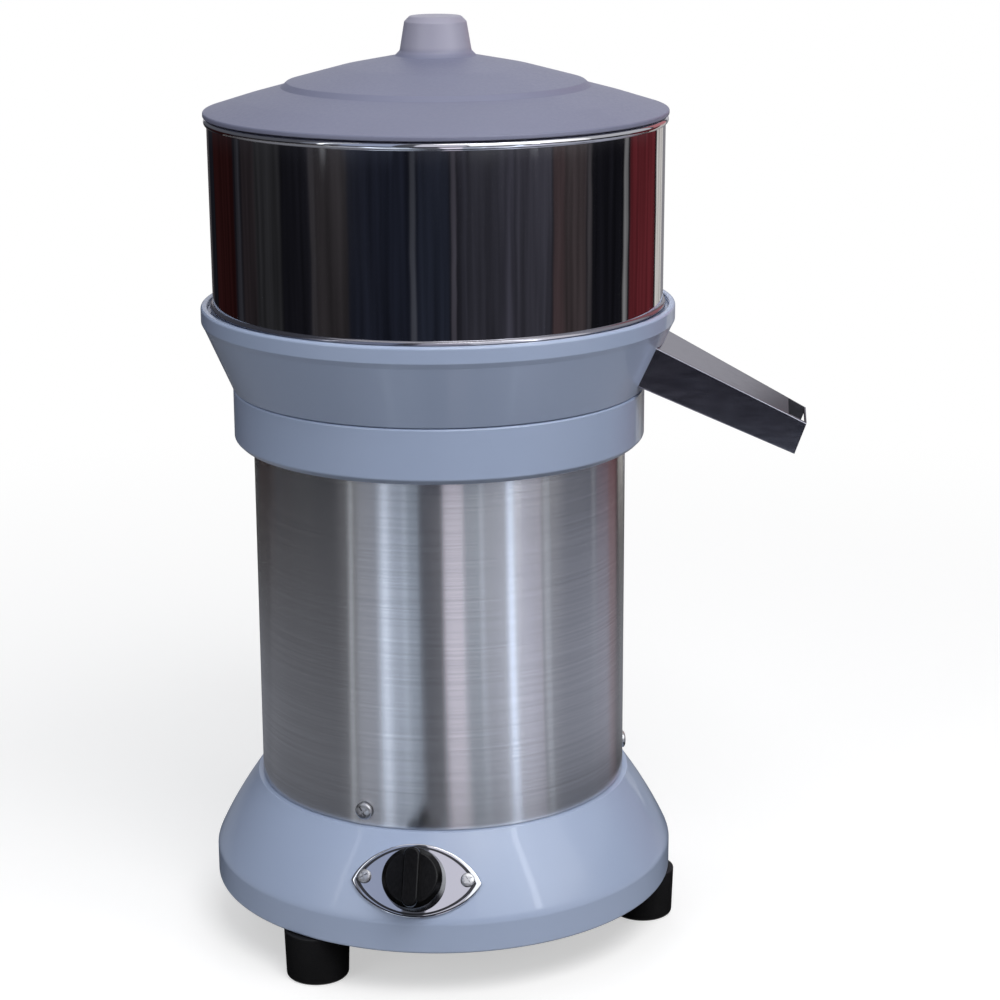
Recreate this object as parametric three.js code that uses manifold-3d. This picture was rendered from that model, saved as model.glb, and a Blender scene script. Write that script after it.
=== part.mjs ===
// Commercial citrus juicer: lid, splash bowl, strainer, reamer, juice tray with its spout,
// collar, motor in a casing, and a conical base with a rotary switch and three rubber feet.
// Millimetres, +Z up, spout towards +X, switch towards -Y. The group's origin is the centre of
// its box on the surface that the feet stand on.
import * as THREE from 'three';
import { mergeVertices } from 'three/addons/utils/BufferGeometryUtils.js';
import Module from 'manifold-3d';

const wasm = await Module();
wasm.setup();

// Fits that every piece shares
const seatGap = 0.3; // between pieces that rest on or in each other
const edgeRound = 0.9; // small roundings on cast and moulded edges
const cutOverrun = 2; // how far a cutting tool passes the face it cuts

// Feet and base
const footHeight = 21.5;
const footRadius = 13.8;
const footTaper = 0.7;
const footEdge = 1.6;
const footPocketRadius = 6.2;
const footFloor = 5;
const footCount = 3;
const footInset = 11.5; // from the base's outer edge to the feet's centres
const baseFlare = 20.9; // how far the base's band stands out from the casing
const baseBandHeight = 13.6;
const baseHeight = 45.7;
const baseShoulder = 3.2; // how far the base's top edge stands out from the casing
const baseSwell = 1; // how far the cone bulges at half height
const baseWall = 4;
const baseShelfDepth = 13;
const shelfWall = 4;
const plateThickness = 2;
const ventWidth = 4.8;
const ventLength = 33;
const ventCount = 6;
const intakeRadius = 12; // round hole for the motor's cooling air
const intakeInset = 18; // in front of the axis, clear of the capacitor

// Casing and collar
const casingRadius = 79.1;
const casingWall = 1.2;
const casingExposed = 148.9; // from the base's shoulder to the collar
const spigotWall = 3;
const spigotHeight = 14;
const collarStep = 8; // how far the collar stands out from the casing
const collarHeight = 23.1;
const collarChamfer = 2.2;
const deckThickness = 5;
const bossRadius = 18;
const bossHeight = 23;
const bossClearance = 1.8; // around the shaft

// Juice tray
const trayFlare = 12.5; // how far the tray's rim stands out from the collar
const trayFlareHeight = 27.3;
const trayLipHeight = 8;
const trayRimWall = 2.8;
const trayLedgeDrop = 2.2;
const trayLedgeWidth = 4.3;
const trayRimRound = 1.2;
const trayWall = 3;
const trayFootWidth = 6.6;
const trayFootDepth = 4;
const trayFloorInset = 5.1; // from the collar's outside to the tray's floor
const strainerSeatDrop = 8.1;
const strainerSeatWidth = 2.4;
const sleeveHeight = 40;

// Bowl, lid and what is under them
const bowlInset = 5.2; // from the tray's rim to the bowl
const bowlTaper = 0.3;
const bowlWall = 0.9;
const bowlHeight = 79.9;
const beadRadius = 1.7;
const beadSteps = 5;
const beadNeckDegrees = 60; // from the bowl's wall to where the bead starts
const lidOverhang = 1.8; // beyond the bowl
const lidEdgeHeight = 1.9;
const lidWall = 2.5;
const lidRise = 21.7; // from the lid's edge to the foot of its knob
const lidStepInset = 33.7; // from the lid's edge to the step
const lidStepHeight = 2.1;
const lidOuterShares = [0.83, 0.235]; // of the lid's radius and of its rise
const lidStepShares = [0.665, 0.435];
const lidInnerShare = 0.81; // of the rise, halfway between the step and the knob
const lidSkirtDepth = 4.4;
const knobRadius = 12.8;
const knobFootRadius = 14.8;
const knobHeight = 16;
const knobRound = 2.2;
const strainerRimHeight = 5;
const strainerWall = 1.6;
const strainerHoleGap = 3; // around the reamer
const strainerCollarHeight = 9;
const slotWidth = 2.4;
const slotLength = 17;
const slotRows = 2;
const slotsInRow = 24;
const reamerRadius = 37.5;
const reamerHeight = 68;
const reamerWall = 3.5;
const reamerHubRadius = 12;
const reamerLap = 2.5; // how far the reamer hangs below the top of the tray's sleeve
const reamerWebDrop = 6.2; // from the end of the hub's bore to the underside around the hub
const reamerShares = [ // of the reamer's radius and of its height
  [1, 0],
  [0.985, 0.06],
  [0.86, 0.22],
  [0.69, 0.45],
  [0.5, 0.67],
  [0.28, 0.86],
  [0.1, 0.97],
];
const ribDepth = 2.4;
const ribCount = 12;

// Spout, in the plane of the machine's axis
const spoutLength = 55.6; // from the tray's rim to the tip of its side walls
const spoutRootRise = 3.7; // from the tray's foot to the underside of the root
const spoutRootHeight = 20;
const spoutTipHeight = 15.6;
const spoutSlopeDegrees = 24.3;
const spoutLeanDegrees = 17; // the mouth is cut this far from upright
const spoutRootWidth = 48;
const spoutTipWidth = 31;
const spoutWall = 1.6;
const spoutMouthSetback = 7.5;
const spoutFlange = 3;
const spoutFlangeWall = 1.5;
const spoutFlangeShare = 0.88; // of the tray's inner wall, from its floor up

// Motor and shaft
const motorSpace = 17.1; // from the casing's outside to the motor
const shieldWall = 3;
const shieldPlate = 5;
const shieldHeight = 27;
const shieldVentRadius = 6;
const statorHeight = 55;
const statorInset = 2; // in the shields
const airGap = 0.35;
const rotorShare = 0.5; // of the stator's radius
const rotorOverhang = 2;
const windingGap = 3; // around the rotor
const windingInset = 10.5; // from the stator's outside
const windingHeight = 15;
const windingRound = 3.7;
const bearingRadius = 17.5;
const bearingWidth = 11;
const bearingHousingWall = 3.2;
const bearingLip = 8; // how far the shield reaches over the bearing's face
const shaftRadius = 7.5;
const shaftCoreRadius = 9;
const shaftTipRadius = 6.5;
const shaftTipLength = 24;
const sealRadius = 13;
const sealHeight = 4.5;
const pinRadius = 1.8;
const pinLength = 19;
const pinDrop = 12; // below the shaft's top
const fanInset = 16; // from the motor's outside
const fanHeight = 13;
const fanDisc = 2;
const fanHubRadius = 12;
const fanBladeCount = 8;

// Switch, gland and electrics
const switchPlateLength = 54;
const switchPlateHeight = 30.4;
const switchPlateWall = 1.2;
const eyeShares = [0.92, 0.42, 0.5]; // of its half length, half height and half length
const plateScrewInset = 5.8; // from the plate's tips to its screws
const switchKnobRadius = 13;
const switchKnobHeight = 14;
const switchKnobLift = 1.5; // over the plate's middle, because the cone falls away around it
const switchBodyRadius = 11;
const switchBodyLength = 19;
const switchBodyDepth = 8; // behind the cone's surface, clear of the wall's curve
const switchNeckRadius = 5.5;
const switchNutRadius = 8.5;
const switchNutHeight = 2.4;
const switchNutLift = 0.75; // over the plate, because the plate is curved
const switchNutSpace = 1.2; // around the nut, inside the knob
const spindleRadius = 3;
const gripWidth = 7;
const gripHeight = 5;
const glandRadius = 9;
const glandLength = 12;
const glandBore = 3.8;
const glandThreadRadius = 6;
const glandNutHeight = 4;
const glandNutDepth = 5.5; // from the cone's surface to the nut, past the wall's inner curve
const glandRise = 21.5; // above the base's lower edge
const capacitorRadius = 16;
const capacitorLength = 58;
const strapWall = 1;
const strapTab = 8;
const strapWidth = 8;
const terminalSize = [36, 14, 12];
const terminalWays = 3;

// Fasteners: radius of the shank, radius and height of the head
const panScrew = { shank: 2, head: 3.7, rise: 2.1 };
const footScrew = { shank: 2.4, head: 4.8, rise: 3 };
const deckScrew = { shank: 2.2, head: 4.4, rise: 2.6 };
const throughBolt = { shank: 2.2, head: 4.2, rise: 3 };
const tieRod = { shank: 2.5, head: 4.6, rise: 2.8 };
const plateScrew = { shank: 1.4, head: 2.9, rise: 1.3 };
const screwClearance = 0.3;
const deckScrewInset = 22; // from the motor's outside
const deckScrewCount = 4;
const throughBoltInset = 7.5; // from the motor's outside
const throughBoltCount = 4;
const tieRodInset = 9.1; // from the casing's outside
const casingScrewRise = 6.7; // above the base's shoulder
const casingScrewCount = 3;
const tieRodCount = 3;

const roundSides = 40;
const smallSides = 20;
const motorSides = 24;
const screwSides = 8;

// Angles about the machine's axis, in degrees, from the switch towards the spout
const casingScrewAngle = -17;
const tieRodAngle = 43;
const footAngle = 90;
const throughBoltAngle = 45;
const ventAngle = 0;

// Radii that follow from the casing's
const baseRadius = casingRadius + baseFlare;
const footCircle = baseRadius - footInset;
const ventCircle = baseRadius / 2;
const collarRadius = casingRadius + collarStep;
const trayRimRadius = collarRadius + trayFlare;
const trayFloorRadius = collarRadius - trayFloorInset;
const bowlRadius = trayRimRadius - bowlInset;
const lidRadius = bowlRadius + lidOverhang;
const lidStepRadius = lidRadius - lidStepInset;
const strainerHoleRadius = reamerRadius + strainerHoleGap;
const spoutReach = trayRimRadius + spoutLength;
const motorRadius = casingRadius - motorSpace;
const statorRadius = motorRadius - statorInset;
const rotorRadius = statorRadius * rotorShare;
const windingInner = rotorRadius + windingGap;
const windingOuter = statorRadius - windingInset;
const fanRadius = motorRadius - fanInset;
const deckScrewCircle = motorRadius - deckScrewInset;
const throughBoltCircle = motorRadius - throughBoltInset;
const tieRodCircle = casingRadius - tieRodInset;

// Heights of the stack, from the floor up
const zBase = footHeight;
const zShoulder = zBase + baseHeight;
const zCollar = zShoulder + casingExposed;
const zDeck = zCollar + collarHeight;
const zDeckUnder = zDeck - deckThickness;
const zTray = zDeck + seatGap;
const zLip = zDeck + trayFlareHeight;
const zRim = zLip + trayLipHeight;
const zLedge = zRim - trayLedgeDrop;
const zStrainer = zRim - strainerSeatDrop;
const zBowl = zLedge + seatGap;
const zBowlTop = zBowl + bowlHeight;
const zLid = zBowlTop + seatGap;
const zTrayFloor = zTray + trayFootDepth + trayWall;
const zBossTop = zDeck + bossHeight;
const zSleeveTop = zTray + sleeveHeight;
const zShield = zDeckUnder - seatGap;
const zStatorTop = zShield - shieldHeight - seatGap;
const zStatorFoot = zStatorTop - statorHeight;
const zMotorFoot = zStatorFoot - seatGap - shieldHeight;
const zSeal = zBossTop + seatGap;
const zReamer = zSleeveTop - reamerLap;

const material = {
  paint: { color: 0xa7aec6, roughness: 0.4, metalness: 0 },
  lidPaint: { color: 0xa3a4b8, roughness: 0.45, metalness: 0 },
  polished: { color: 0xb9b9bd, roughness: 0.08, metalness: 1 },
  brushed: { color: 0xb8b8b4, roughness: 0.32, metalness: 1 },
  steel: { color: 0x9a9a98, roughness: 0.4, metalness: 1 },
  zinc: { color: 0xa9abb0, roughness: 0.45, metalness: 1 },
  black: { color: 0x151517, roughness: 0.35, metalness: 0 },
  rubber: { color: 0x17181b, roughness: 0.8, metalness: 0 },
  white: { color: 0xe9e7df, roughness: 0.4, metalness: 0 },
  copper: { color: 0x9a4a24, roughness: 0.4, metalness: 0.6 },
  iron: { color: 0x55575c, roughness: 0.6, metalness: 0.8 },
  grey: { color: 0x8d8f95, roughness: 0.5, metalness: 0.2 },
};

const radians = (degrees) => (degrees * Math.PI) / 180;

const machine = new THREE.Group();

function addMesh(name, geometry, finish, parent = machine) {
  const flat = geometry.index ? geometry.toNonIndexed() : geometry;
  flat.deleteAttribute('uv');
  flat.computeVertexNormals();
  const mesh = new THREE.Mesh(flat, new THREE.MeshStandardMaterial(material[finish]));
  mesh.name = name;
  parent.add(mesh);
  return mesh;
}

// Angles spread evenly over a full turn
function around(count, startDegrees = 0) {
  return Array.from({ length: count }, (_, i) => startDegrees + (i * 360) / count);
}

// A carrier turned about the machine's axis, so that its own -Y looks out at that angle
function turned(degrees, parent = machine) {
  const group = new THREE.Group();
  group.rotation.z = radians(degrees);
  parent.add(group);
  return group;
}

function mergedShape(geometry) {
  const bare = new THREE.BufferGeometry();
  bare.setAttribute('position', geometry.getAttribute('position'));
  if (geometry.index) bare.setIndex(geometry.index);
  return mergeVertices(bare, 1e-5);
}

// Six times the enclosed volume, which is negative when the faces point inwards
function windingVolume(positions, index) {
  const a = new THREE.Vector3();
  const b = new THREE.Vector3();
  const c = new THREE.Vector3();
  let volume = 0;
  for (let i = 0; i < index.length; i += 3) {
    a.fromBufferAttribute(positions, index[i]);
    b.fromBufferAttribute(positions, index[i + 1]);
    c.fromBufferAttribute(positions, index[i + 2]);
    volume += a.dot(b.cross(c));
  }
  return volume;
}

// Merges shared corners, drops collapsed triangles and turns every face outwards
function closed(geometry) {
  const merged = mergedShape(geometry);
  const kept = [];
  const source = merged.index.array;
  for (let i = 0; i < source.length; i += 3) {
    const corner = [source[i], source[i + 1], source[i + 2]];
    if (new Set(corner).size === corner.length) kept.push(...corner);
  }
  if (windingVolume(merged.getAttribute('position'), kept) < 0) kept.reverse();
  merged.setIndex(kept);
  return merged;
}

function solid(geometry) {
  const shape = closed(geometry);
  return new wasm.Manifold(new wasm.Mesh({
    numProp: 3,
    vertProperties: new Float32Array(shape.getAttribute('position').array),
    triVerts: new Uint32Array(shape.index.array),
  }));
}

function geometryOf(body) {
  const mesh = body.getMesh();
  const geometry = new THREE.BufferGeometry();
  geometry.setAttribute('position', new THREE.BufferAttribute(new Float32Array(mesh.vertProperties), 3));
  geometry.setIndex([...mesh.triVerts]);
  return geometry;
}

function cut(geometry, ...tools) {
  return geometryOf(tools.reduce((body, tool) => body.subtract(solid(tool)), solid(geometry)));
}

function join(geometry, ...others) {
  return geometryOf(others.reduce((body, other) => body.add(solid(other)), solid(geometry)));
}

function overlap(geometry, other) {
  return geometryOf(solid(geometry).intersect(solid(other)));
}

// Turns an outline of [radius, height] about +Z; it closes on itself or ends on the axis
function turn(outline, sides = roundSides) {
  const onAxis = outline[0][0] === 0 && outline[outline.length - 1][0] === 0;
  const ring = onAxis ? outline : [...outline, outline[0]];
  const points = ring.map(([radius, height]) => new THREE.Vector2(radius, height));
  const geometry = new THREE.LatheGeometry(points, sides);
  geometry.rotateX(Math.PI / 2);
  return closed(geometry);
}

function rod(radius, bottom, top, sides = smallSides) {
  return turn([[0, bottom], [radius, bottom], [radius, top], [0, top]], sides);
}

function tube(inner, outer, bottom, top, sides = roundSides) {
  return turn([[inner, bottom], [outer, bottom], [outer, top], [inner, top]], sides);
}

function block(width, depth, height) {
  return new THREE.BoxGeometry(width, depth, height);
}

// Copies of a shape spread evenly about the axis
function spread(geometry, count, startDegrees = 0) {
  return around(count, startDegrees).map((degrees) => {
    const copy = geometry.clone();
    copy.rotateZ(radians(degrees));
    return copy;
  });
}

// A hole for a screw, upright at a distance in front of the axis
function uprightHole(radius, circle, bottom, top) {
  const tool = rod(radius, bottom, top, screwSides);
  tool.translate(0, -circle, 0);
  return tool;
}

// A screw with its head's seat at height zero and its shank below
function screwShape(kind, length, headSides = screwSides) {
  const head = rod(kind.head, 0, kind.rise, headSides);
  const shank = rod(kind.shank, -length, kind.rise / 2, screwSides);
  return join(head, shank);
}

function nutShape(innerRadius, outerRadius, height, boreSides = screwSides) {
  const hexagon = rod(outerRadius, 0, height, 6);
  return cut(hexagon, rod(innerRadius, -cutOverrun, height + cutOverrun, boreSides));
}

// Base ring

const baseInner = baseRadius - baseWall;
const shoulderRadius = casingRadius + baseShoulder;
const zBand = zBase + baseBandHeight;
const zConeTop = zShoulder - baseShoulder / 2;
const coneMiddle = [(baseRadius + shoulderRadius) / 2 + baseSwell, (zBand + zConeTop) / 2];
const baseOuterLine = [
  [baseRadius, zBase + baseShoulder / 4],
  [baseRadius, zBand],
  coneMiddle,
  [shoulderRadius, zConeTop],
];

// A copy of an outline's points, each moved square to the lines beside it
function offsetLine(line, distance) {
  return line.map((point, i) => {
    const before = line[Math.max(i - 1, 0)];
    const after = line[Math.min(i + 1, line.length - 1)];
    const length = Math.hypot(after[0] - before[0], after[1] - before[1]);
    const out = [(after[1] - before[1]) / length, (before[0] - after[0]) / length];
    return [point[0] + out[0] * distance, point[1] + out[1] * distance];
  });
}

const casingInner = casingRadius - casingWall;
const spigotRadius = casingInner - seatGap;
const spigotInner = spigotRadius - spigotWall;
const shelfInner = spigotRadius - baseShelfDepth;
const zShelf = zShoulder - shelfWall / 2;
const zShelfUnder = zShelf - shelfWall;
const [, bandInner, coneInner] = offsetLine(baseOuterLine, -baseWall);

const baseShell = turn([
  [baseRadius - baseShoulder / 4, zBase],
  ...baseOuterLine,
  [shoulderRadius - baseShoulder / 2, zShoulder],
  [spigotRadius, zShoulder],
  [spigotRadius, zShoulder + spigotHeight],
  [spigotInner, zShoulder + spigotHeight],
  [spigotInner, zShelf],
  [shelfInner, zShelf],
  [shelfInner, zShelfUnder],
  [spigotRadius - baseWall / 2, zShelfUnder],
  coneInner,
  [baseInner, bandInner[1]],
  [baseInner, zBase],
]);
const baseEnvelope = turn([
  [0, zBase],
  [baseRadius - baseShoulder / 4, zBase],
  ...baseOuterLine,
  [shoulderRadius - baseShoulder / 2, zShoulder],
  [0, zShoulder],
]);

const bossFoot = zBase + plateThickness + seatGap;
const footScrewLength = footFloor + plateThickness + baseBandHeight;
const footBoss = rod(footScrew.shank + baseWall, bossFoot, zShelfUnder - shelfWall, screwSides);
footBoss.translate(0, -footCircle, 0);
const footHole = uprightHole(
  footScrew.shank + screwClearance,
  footCircle,
  zBase - cutOverrun,
  zBase - footFloor + footScrewLength + cutOverrun,
);
const tieHoleInShelf = uprightHole(
  tieRod.shank + screwClearance,
  tieRodCircle,
  zShelfUnder - cutOverrun,
  zShelf + cutOverrun,
);

// A radial hole for a casing screw, through the casing and the spigot
function radialHole(radius, inner, outer, height) {
  const tool = rod(radius, inner, outer, screwSides);
  tool.rotateX(Math.PI / 2);
  tool.translate(0, 0, height);
  return tool;
}

const zCasingScrew = zShoulder + casingScrewRise;
const casingScrewHole = radialHole(
  panScrew.shank + screwClearance,
  spigotInner - cutOverrun,
  casingRadius + cutOverrun,
  zCasingScrew,
);

// The middle of the cone's front, where the switch sits, and the way it faces
const coneFoot = baseOuterLine[1];
const coneHead = baseOuterLine[3];
const coneSlant = Math.hypot(coneFoot[0] - coneHead[0], coneHead[1] - coneFoot[1]);
const coneTilt = Math.acos((coneFoot[0] - coneHead[0]) / coneSlant);

// Brings a shape made about the origin, looking along +Z, to the cone's front
function toCone(geometry, place = coneMiddle) {
  geometry.rotateX(coneTilt);
  geometry.translate(0, -place[0], place[1]);
  return geometry;
}

function ontoCone(group, place = coneMiddle) {
  const carrier = new THREE.Group();
  carrier.rotation.x = coneTilt;
  carrier.position.set(0, -place[0], place[1]);
  group.add(carrier);
  return carrier;
}

const plateTop = seatGap + switchPlateWall; // above the cone's surface
const switchHole = toCone(rod(
  switchNeckRadius + seatGap,
  -baseWall - 2 * cutOverrun,
  plateTop + cutOverrun,
));
const plateScrewReach = switchPlateLength / 2 - plateScrewInset;
const plateScrewTurn = THREE.MathUtils.radToDeg(plateScrewReach / coneMiddle[0]);
const plateScrewLength = baseWall + plateTop;
const plateScrewHoles = [-plateScrewTurn, plateScrewTurn].map((degrees) => {
  const tool = toCone(rod(
    plateScrew.shank + screwClearance,
    -baseWall - 2 * cutOverrun,
    plateTop + cutOverrun,
    screwSides,
  ));
  tool.rotateZ(radians(degrees));
  return tool;
});

const glandSlope = (coneFoot[0] - coneMiddle[0]) / (coneMiddle[1] - coneFoot[1]);
const glandHeight = zBase + glandRise;
const glandPlace = [coneFoot[0] - glandSlope * (glandHeight - coneFoot[1]), glandHeight];
const glandHole = toCone(
  rod(glandThreadRadius + seatGap, -baseWall - 2 * cutOverrun, cutOverrun),
  glandPlace,
);
glandHole.rotateZ(Math.PI);

const footBosses = spread(footBoss, footCount, footAngle);
const baseRing = cut(
  overlap(join(baseShell, ...footBosses), join(baseEnvelope, tube(
    spigotInner,
    spigotRadius,
    zShelf,
    zShoulder + spigotHeight,
  ))),
  ...spread(footHole, footCount, footAngle),
  ...spread(tieHoleInShelf, tieRodCount, tieRodAngle),
  ...spread(casingScrewHole, casingScrewCount, casingScrewAngle),
  switchHole,
  ...plateScrewHoles,
  glandHole,
);
addMesh('base_ring', baseRing, 'paint');

const ventSlot = block(ventWidth, ventLength, plateThickness + 2 * cutOverrun);
ventSlot.translate(0, -ventCircle, zBase + plateThickness / 2);
const intakeHole = rod(intakeRadius, zBase - cutOverrun, zBase + plateThickness + cutOverrun);
intakeHole.translate(0, -intakeInset, 0);
addMesh('bottom_plate', cut(
  rod(baseInner - seatGap, zBase, zBase + plateThickness, roundSides),
  ...spread(footHole, footCount, footAngle),
  ...spread(ventSlot, ventCount, ventAngle),
  intakeHole,
), 'zinc');

const footTop = footHeight - seatGap;
const footOutline = [
  [footScrew.shank + screwClearance, footTop],
  [footRadius, footTop],
  [footRadius - footTaper, footEdge],
  [footRadius - footTaper - footEdge, 0],
  [footPocketRadius, 0],
  [footPocketRadius, footTop - footFloor],
  [footScrew.shank + screwClearance, footTop - footFloor],
];
const footShape = turn(footOutline, smallSides);
const footScrewShape = screwShape(footScrew, footScrewLength);
around(footCount, footAngle).forEach((degrees, i) => {
  const carrier = turned(degrees);
  const foot = addMesh(`foot_${i + 1}`, footShape.clone(), 'rubber', carrier);
  foot.position.y = -footCircle;
  const screw = addMesh(`foot_screw_${i + 1}`, footScrewShape.clone(), 'zinc', carrier);
  screw.position.set(0, -footCircle, footTop - footFloor - seatGap);
  screw.rotation.y = Math.PI;
});

// Casing

const casingTop = zDeckUnder - spigotWall;
addMesh('casing', cut(
  tube(casingInner, casingRadius, zShoulder + seatGap, casingTop),
  ...spread(casingScrewHole, casingScrewCount, casingScrewAngle),
), 'brushed');

const casingScrewShape = screwShape(panScrew, casingRadius - spigotInner + spigotWall);
around(casingScrewCount, casingScrewAngle).forEach((degrees, i) => {
  const carrier = turned(degrees);
  const screw = addMesh(`casing_screw_${i + 1}`, casingScrewShape.clone(), 'steel', carrier);
  screw.position.set(0, -casingRadius - seatGap, zCasingScrew);
  screw.rotation.x = Math.PI / 2;
});

// Collar

const collarInner = casingRadius + seatGap;
const bossBore = shaftRadius + bossClearance;
const collarShell = turn([
  [collarInner, zCollar],
  [collarRadius - collarChamfer, zCollar],
  [collarRadius, zCollar + collarChamfer],
  [collarRadius, zDeck - edgeRound],
  [collarRadius - edgeRound, zDeck],
  [bossRadius, zDeck],
  [bossRadius, zBossTop],
  [bossBore, zBossTop],
  [bossBore, zDeckUnder],
  [spigotInner, zDeckUnder],
  [spigotInner, zDeckUnder - spigotHeight],
  [spigotRadius, zDeckUnder - spigotHeight],
  [spigotRadius, casingTop + seatGap],
  [collarInner, casingTop + seatGap],
]);
const deckHole = (kind, circle) => uprightHole(
  kind.shank + screwClearance,
  circle,
  zDeckUnder - cutOverrun,
  zDeck + cutOverrun,
);
addMesh('top_collar', cut(
  collarShell,
  ...spread(deckHole(deckScrew, deckScrewCircle), deckScrewCount),
  ...spread(deckHole(tieRod, tieRodCircle), tieRodCount, tieRodAngle),
), 'paint');

const tieRodLength = zDeck - zShelfUnder + 2 * tieRod.head;
const tieRodShape = screwShape(tieRod, tieRodLength, 6);
const tieNutShape = nutShape(tieRod.shank + screwClearance, tieRod.head, tieRod.head);
around(tieRodCount, tieRodAngle).forEach((degrees, i) => {
  const carrier = turned(degrees);
  const tie = addMesh(`tie_rod_${i + 1}`, tieRodShape.clone(), 'zinc', carrier);
  tie.position.set(0, -tieRodCircle, zDeck + seatGap);
  const nut = addMesh(`tie_nut_${i + 1}`, tieNutShape.clone(), 'zinc', carrier);
  nut.position.set(0, -tieRodCircle, zShelfUnder - tieRod.head - seatGap);
});

const deckScrewLength = deckThickness + shieldPlate;
const deckScrewShape = screwShape(deckScrew, deckScrewLength);
around(deckScrewCount).forEach((degrees, i) => {
  const screw = addMesh(`motor_screw_${i + 1}`, deckScrewShape.clone(), 'zinc', turned(degrees));
  screw.position.set(0, -deckScrewCircle, zDeck + seatGap);
});

// Motor

const bearingSeat = bearingRadius + seatGap;
const housingRadius = bearingSeat + bearingHousingWall;
const housingDepth = bearingWidth + shieldPlate;
const shieldOutline = [
  [bearingRadius - bearingLip, 0],
  [motorRadius, 0],
  [motorRadius, shieldHeight],
  [motorRadius - shieldWall, shieldHeight],
  [motorRadius - shieldWall, shieldPlate],
  [housingRadius, shieldPlate],
  [housingRadius, housingDepth],
  [bearingSeat, housingDepth],
  [bearingSeat, shieldPlate - shieldWall / 2],
  [bearingRadius - bearingLip, shieldPlate - shieldWall / 2],
];
const throughHole = uprightHole(
  throughBolt.shank + screwClearance,
  throughBoltCircle,
  zMotorFoot - cutOverrun,
  zShield + cutOverrun,
);
const throughHoles = spread(throughHole, throughBoltCount, throughBoltAngle);
const upperLine = shieldOutline.map(([radius, depth]) => [radius, zShield - depth]);
const lowerLine = shieldOutline.map(([radius, depth]) => [radius, zMotorFoot + depth]);
const shieldVent = uprightHole(
  shieldVentRadius,
  (housingRadius + throughBoltCircle) / 2,
  zMotorFoot - cutOverrun,
  zMotorFoot + shieldPlate + cutOverrun,
);
const shieldScrewHole = deckHole(deckScrew, deckScrewCircle);
shieldScrewHole.translate(0, 0, -deckThickness);
addMesh('motor_upper_shield', cut(
  turn(upperLine, motorSides),
  ...throughHoles,
  ...spread(shieldScrewHole, deckScrewCount),
), 'grey');
addMesh('motor_lower_shield', cut(
  turn(lowerLine, motorSides),
  ...throughHoles,
  ...spread(shieldVent, throughBoltCount),
), 'grey');

addMesh('stator_core', cut(
  tube(rotorRadius + airGap, statorRadius, zStatorFoot, zStatorTop, motorSides),
  ...throughHoles,
), 'iron');

function windingShape(bottom) {
  return turn([
    [windingInner, bottom],
    [windingOuter, bottom],
    [windingOuter, bottom + windingHeight - windingRound],
    [windingOuter - windingRound, bottom + windingHeight],
    [windingInner + windingRound, bottom + windingHeight],
    [windingInner, bottom + windingHeight - windingRound],
  ], smallSides);
}
addMesh('upper_end_winding', windingShape(zStatorTop + seatGap), 'copper');
const lowerWinding = windingShape(0);
lowerWinding.rotateX(Math.PI);
lowerWinding.translate(0, 0, zStatorFoot - seatGap);
addMesh('lower_end_winding', closed(lowerWinding), 'copper');

const throughBoltLength = zShield - zMotorFoot - shieldWall / 2;
const throughBoltShape = screwShape(throughBolt, throughBoltLength, 6);
around(throughBoltCount, throughBoltAngle).forEach((degrees, i) => {
  const name = `through_bolt_${i + 1}`;
  const bolt = addMesh(name, throughBoltShape.clone(), 'zinc', turned(degrees));
  bolt.position.set(0, -throughBoltCircle, zMotorFoot - seatGap);
  bolt.rotation.y = Math.PI;
});

const bearingBore = shaftRadius + seatGap;
const zUpperBearing = zShield - shieldPlate + shieldWall / 2 - seatGap - bearingWidth;
const zLowerBearing = zMotorFoot + shieldPlate - shieldWall / 2 + seatGap;
for (const [name, bottom] of [['upper_bearing', zUpperBearing], ['lower_bearing', zLowerBearing]]) {
  addMesh(name, tube(bearingBore, bearingRadius, bottom, bottom + bearingWidth, smallSides), 'steel');
}

// Shaft and what turns with it

const fanTop = zMotorFoot - throughBolt.rise - 3 * seatGap;
const fanBottom = fanTop - fanHeight;
const shaftBottom = fanBottom - shaftRadius / 2;
const zShaftStep = zSeal + sealHeight + cutOverrun + housingDepth;
const shaftTop = zShaftStep + shaftTipLength;
const zPin = shaftTop - pinDrop;
const pinTool = rod(pinRadius + seatGap, -pinLength, pinLength, screwSides);
pinTool.rotateX(Math.PI / 2);
pinTool.translate(0, 0, zPin);
addMesh('motor_shaft', cut(turn([
  [0, shaftBottom],
  [shaftRadius, shaftBottom],
  [shaftRadius, zLowerBearing + bearingWidth + seatGap],
  [shaftCoreRadius, zLowerBearing + bearingWidth + seatGap],
  [shaftCoreRadius, zUpperBearing - seatGap],
  [shaftRadius, zUpperBearing - seatGap],
  [shaftRadius, zShaftStep],
  [shaftTipRadius, zShaftStep],
  [shaftTipRadius, shaftTop],
  [0, shaftTop],
], smallSides), pinTool), 'steel');

addMesh('rotor_core', tube(
  shaftCoreRadius + seatGap,
  rotorRadius,
  zStatorFoot - rotorOverhang,
  zStatorTop + rotorOverhang,
  smallSides,
), 'iron');

const fanBore = rod(shaftRadius + seatGap, fanBottom - cutOverrun, fanTop + cutOverrun);
const fanBlade = block(fanDisc, fanRadius - fanHubRadius, fanHeight - fanDisc);
fanBlade.translate(0, -(fanRadius + fanHubRadius) / 2 + fanDisc, fanTop - fanHeight / 2 + fanDisc / 4);
addMesh('cooling_fan', cut(join(
  rod(fanRadius, fanBottom, fanBottom + fanDisc, smallSides),
  rod(fanHubRadius, fanBottom, fanTop, smallSides),
  ...spread(fanBlade, fanBladeCount),
), fanBore), 'black');

addMesh('shaft_seal', turn([
  [shaftRadius + seatGap, zSeal],
  [sealRadius, zSeal],
  [sealRadius - sealHeight / 2, zSeal + sealHeight],
  [shaftRadius + seatGap, zSeal + sealHeight],
], smallSides), 'rubber');

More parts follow.
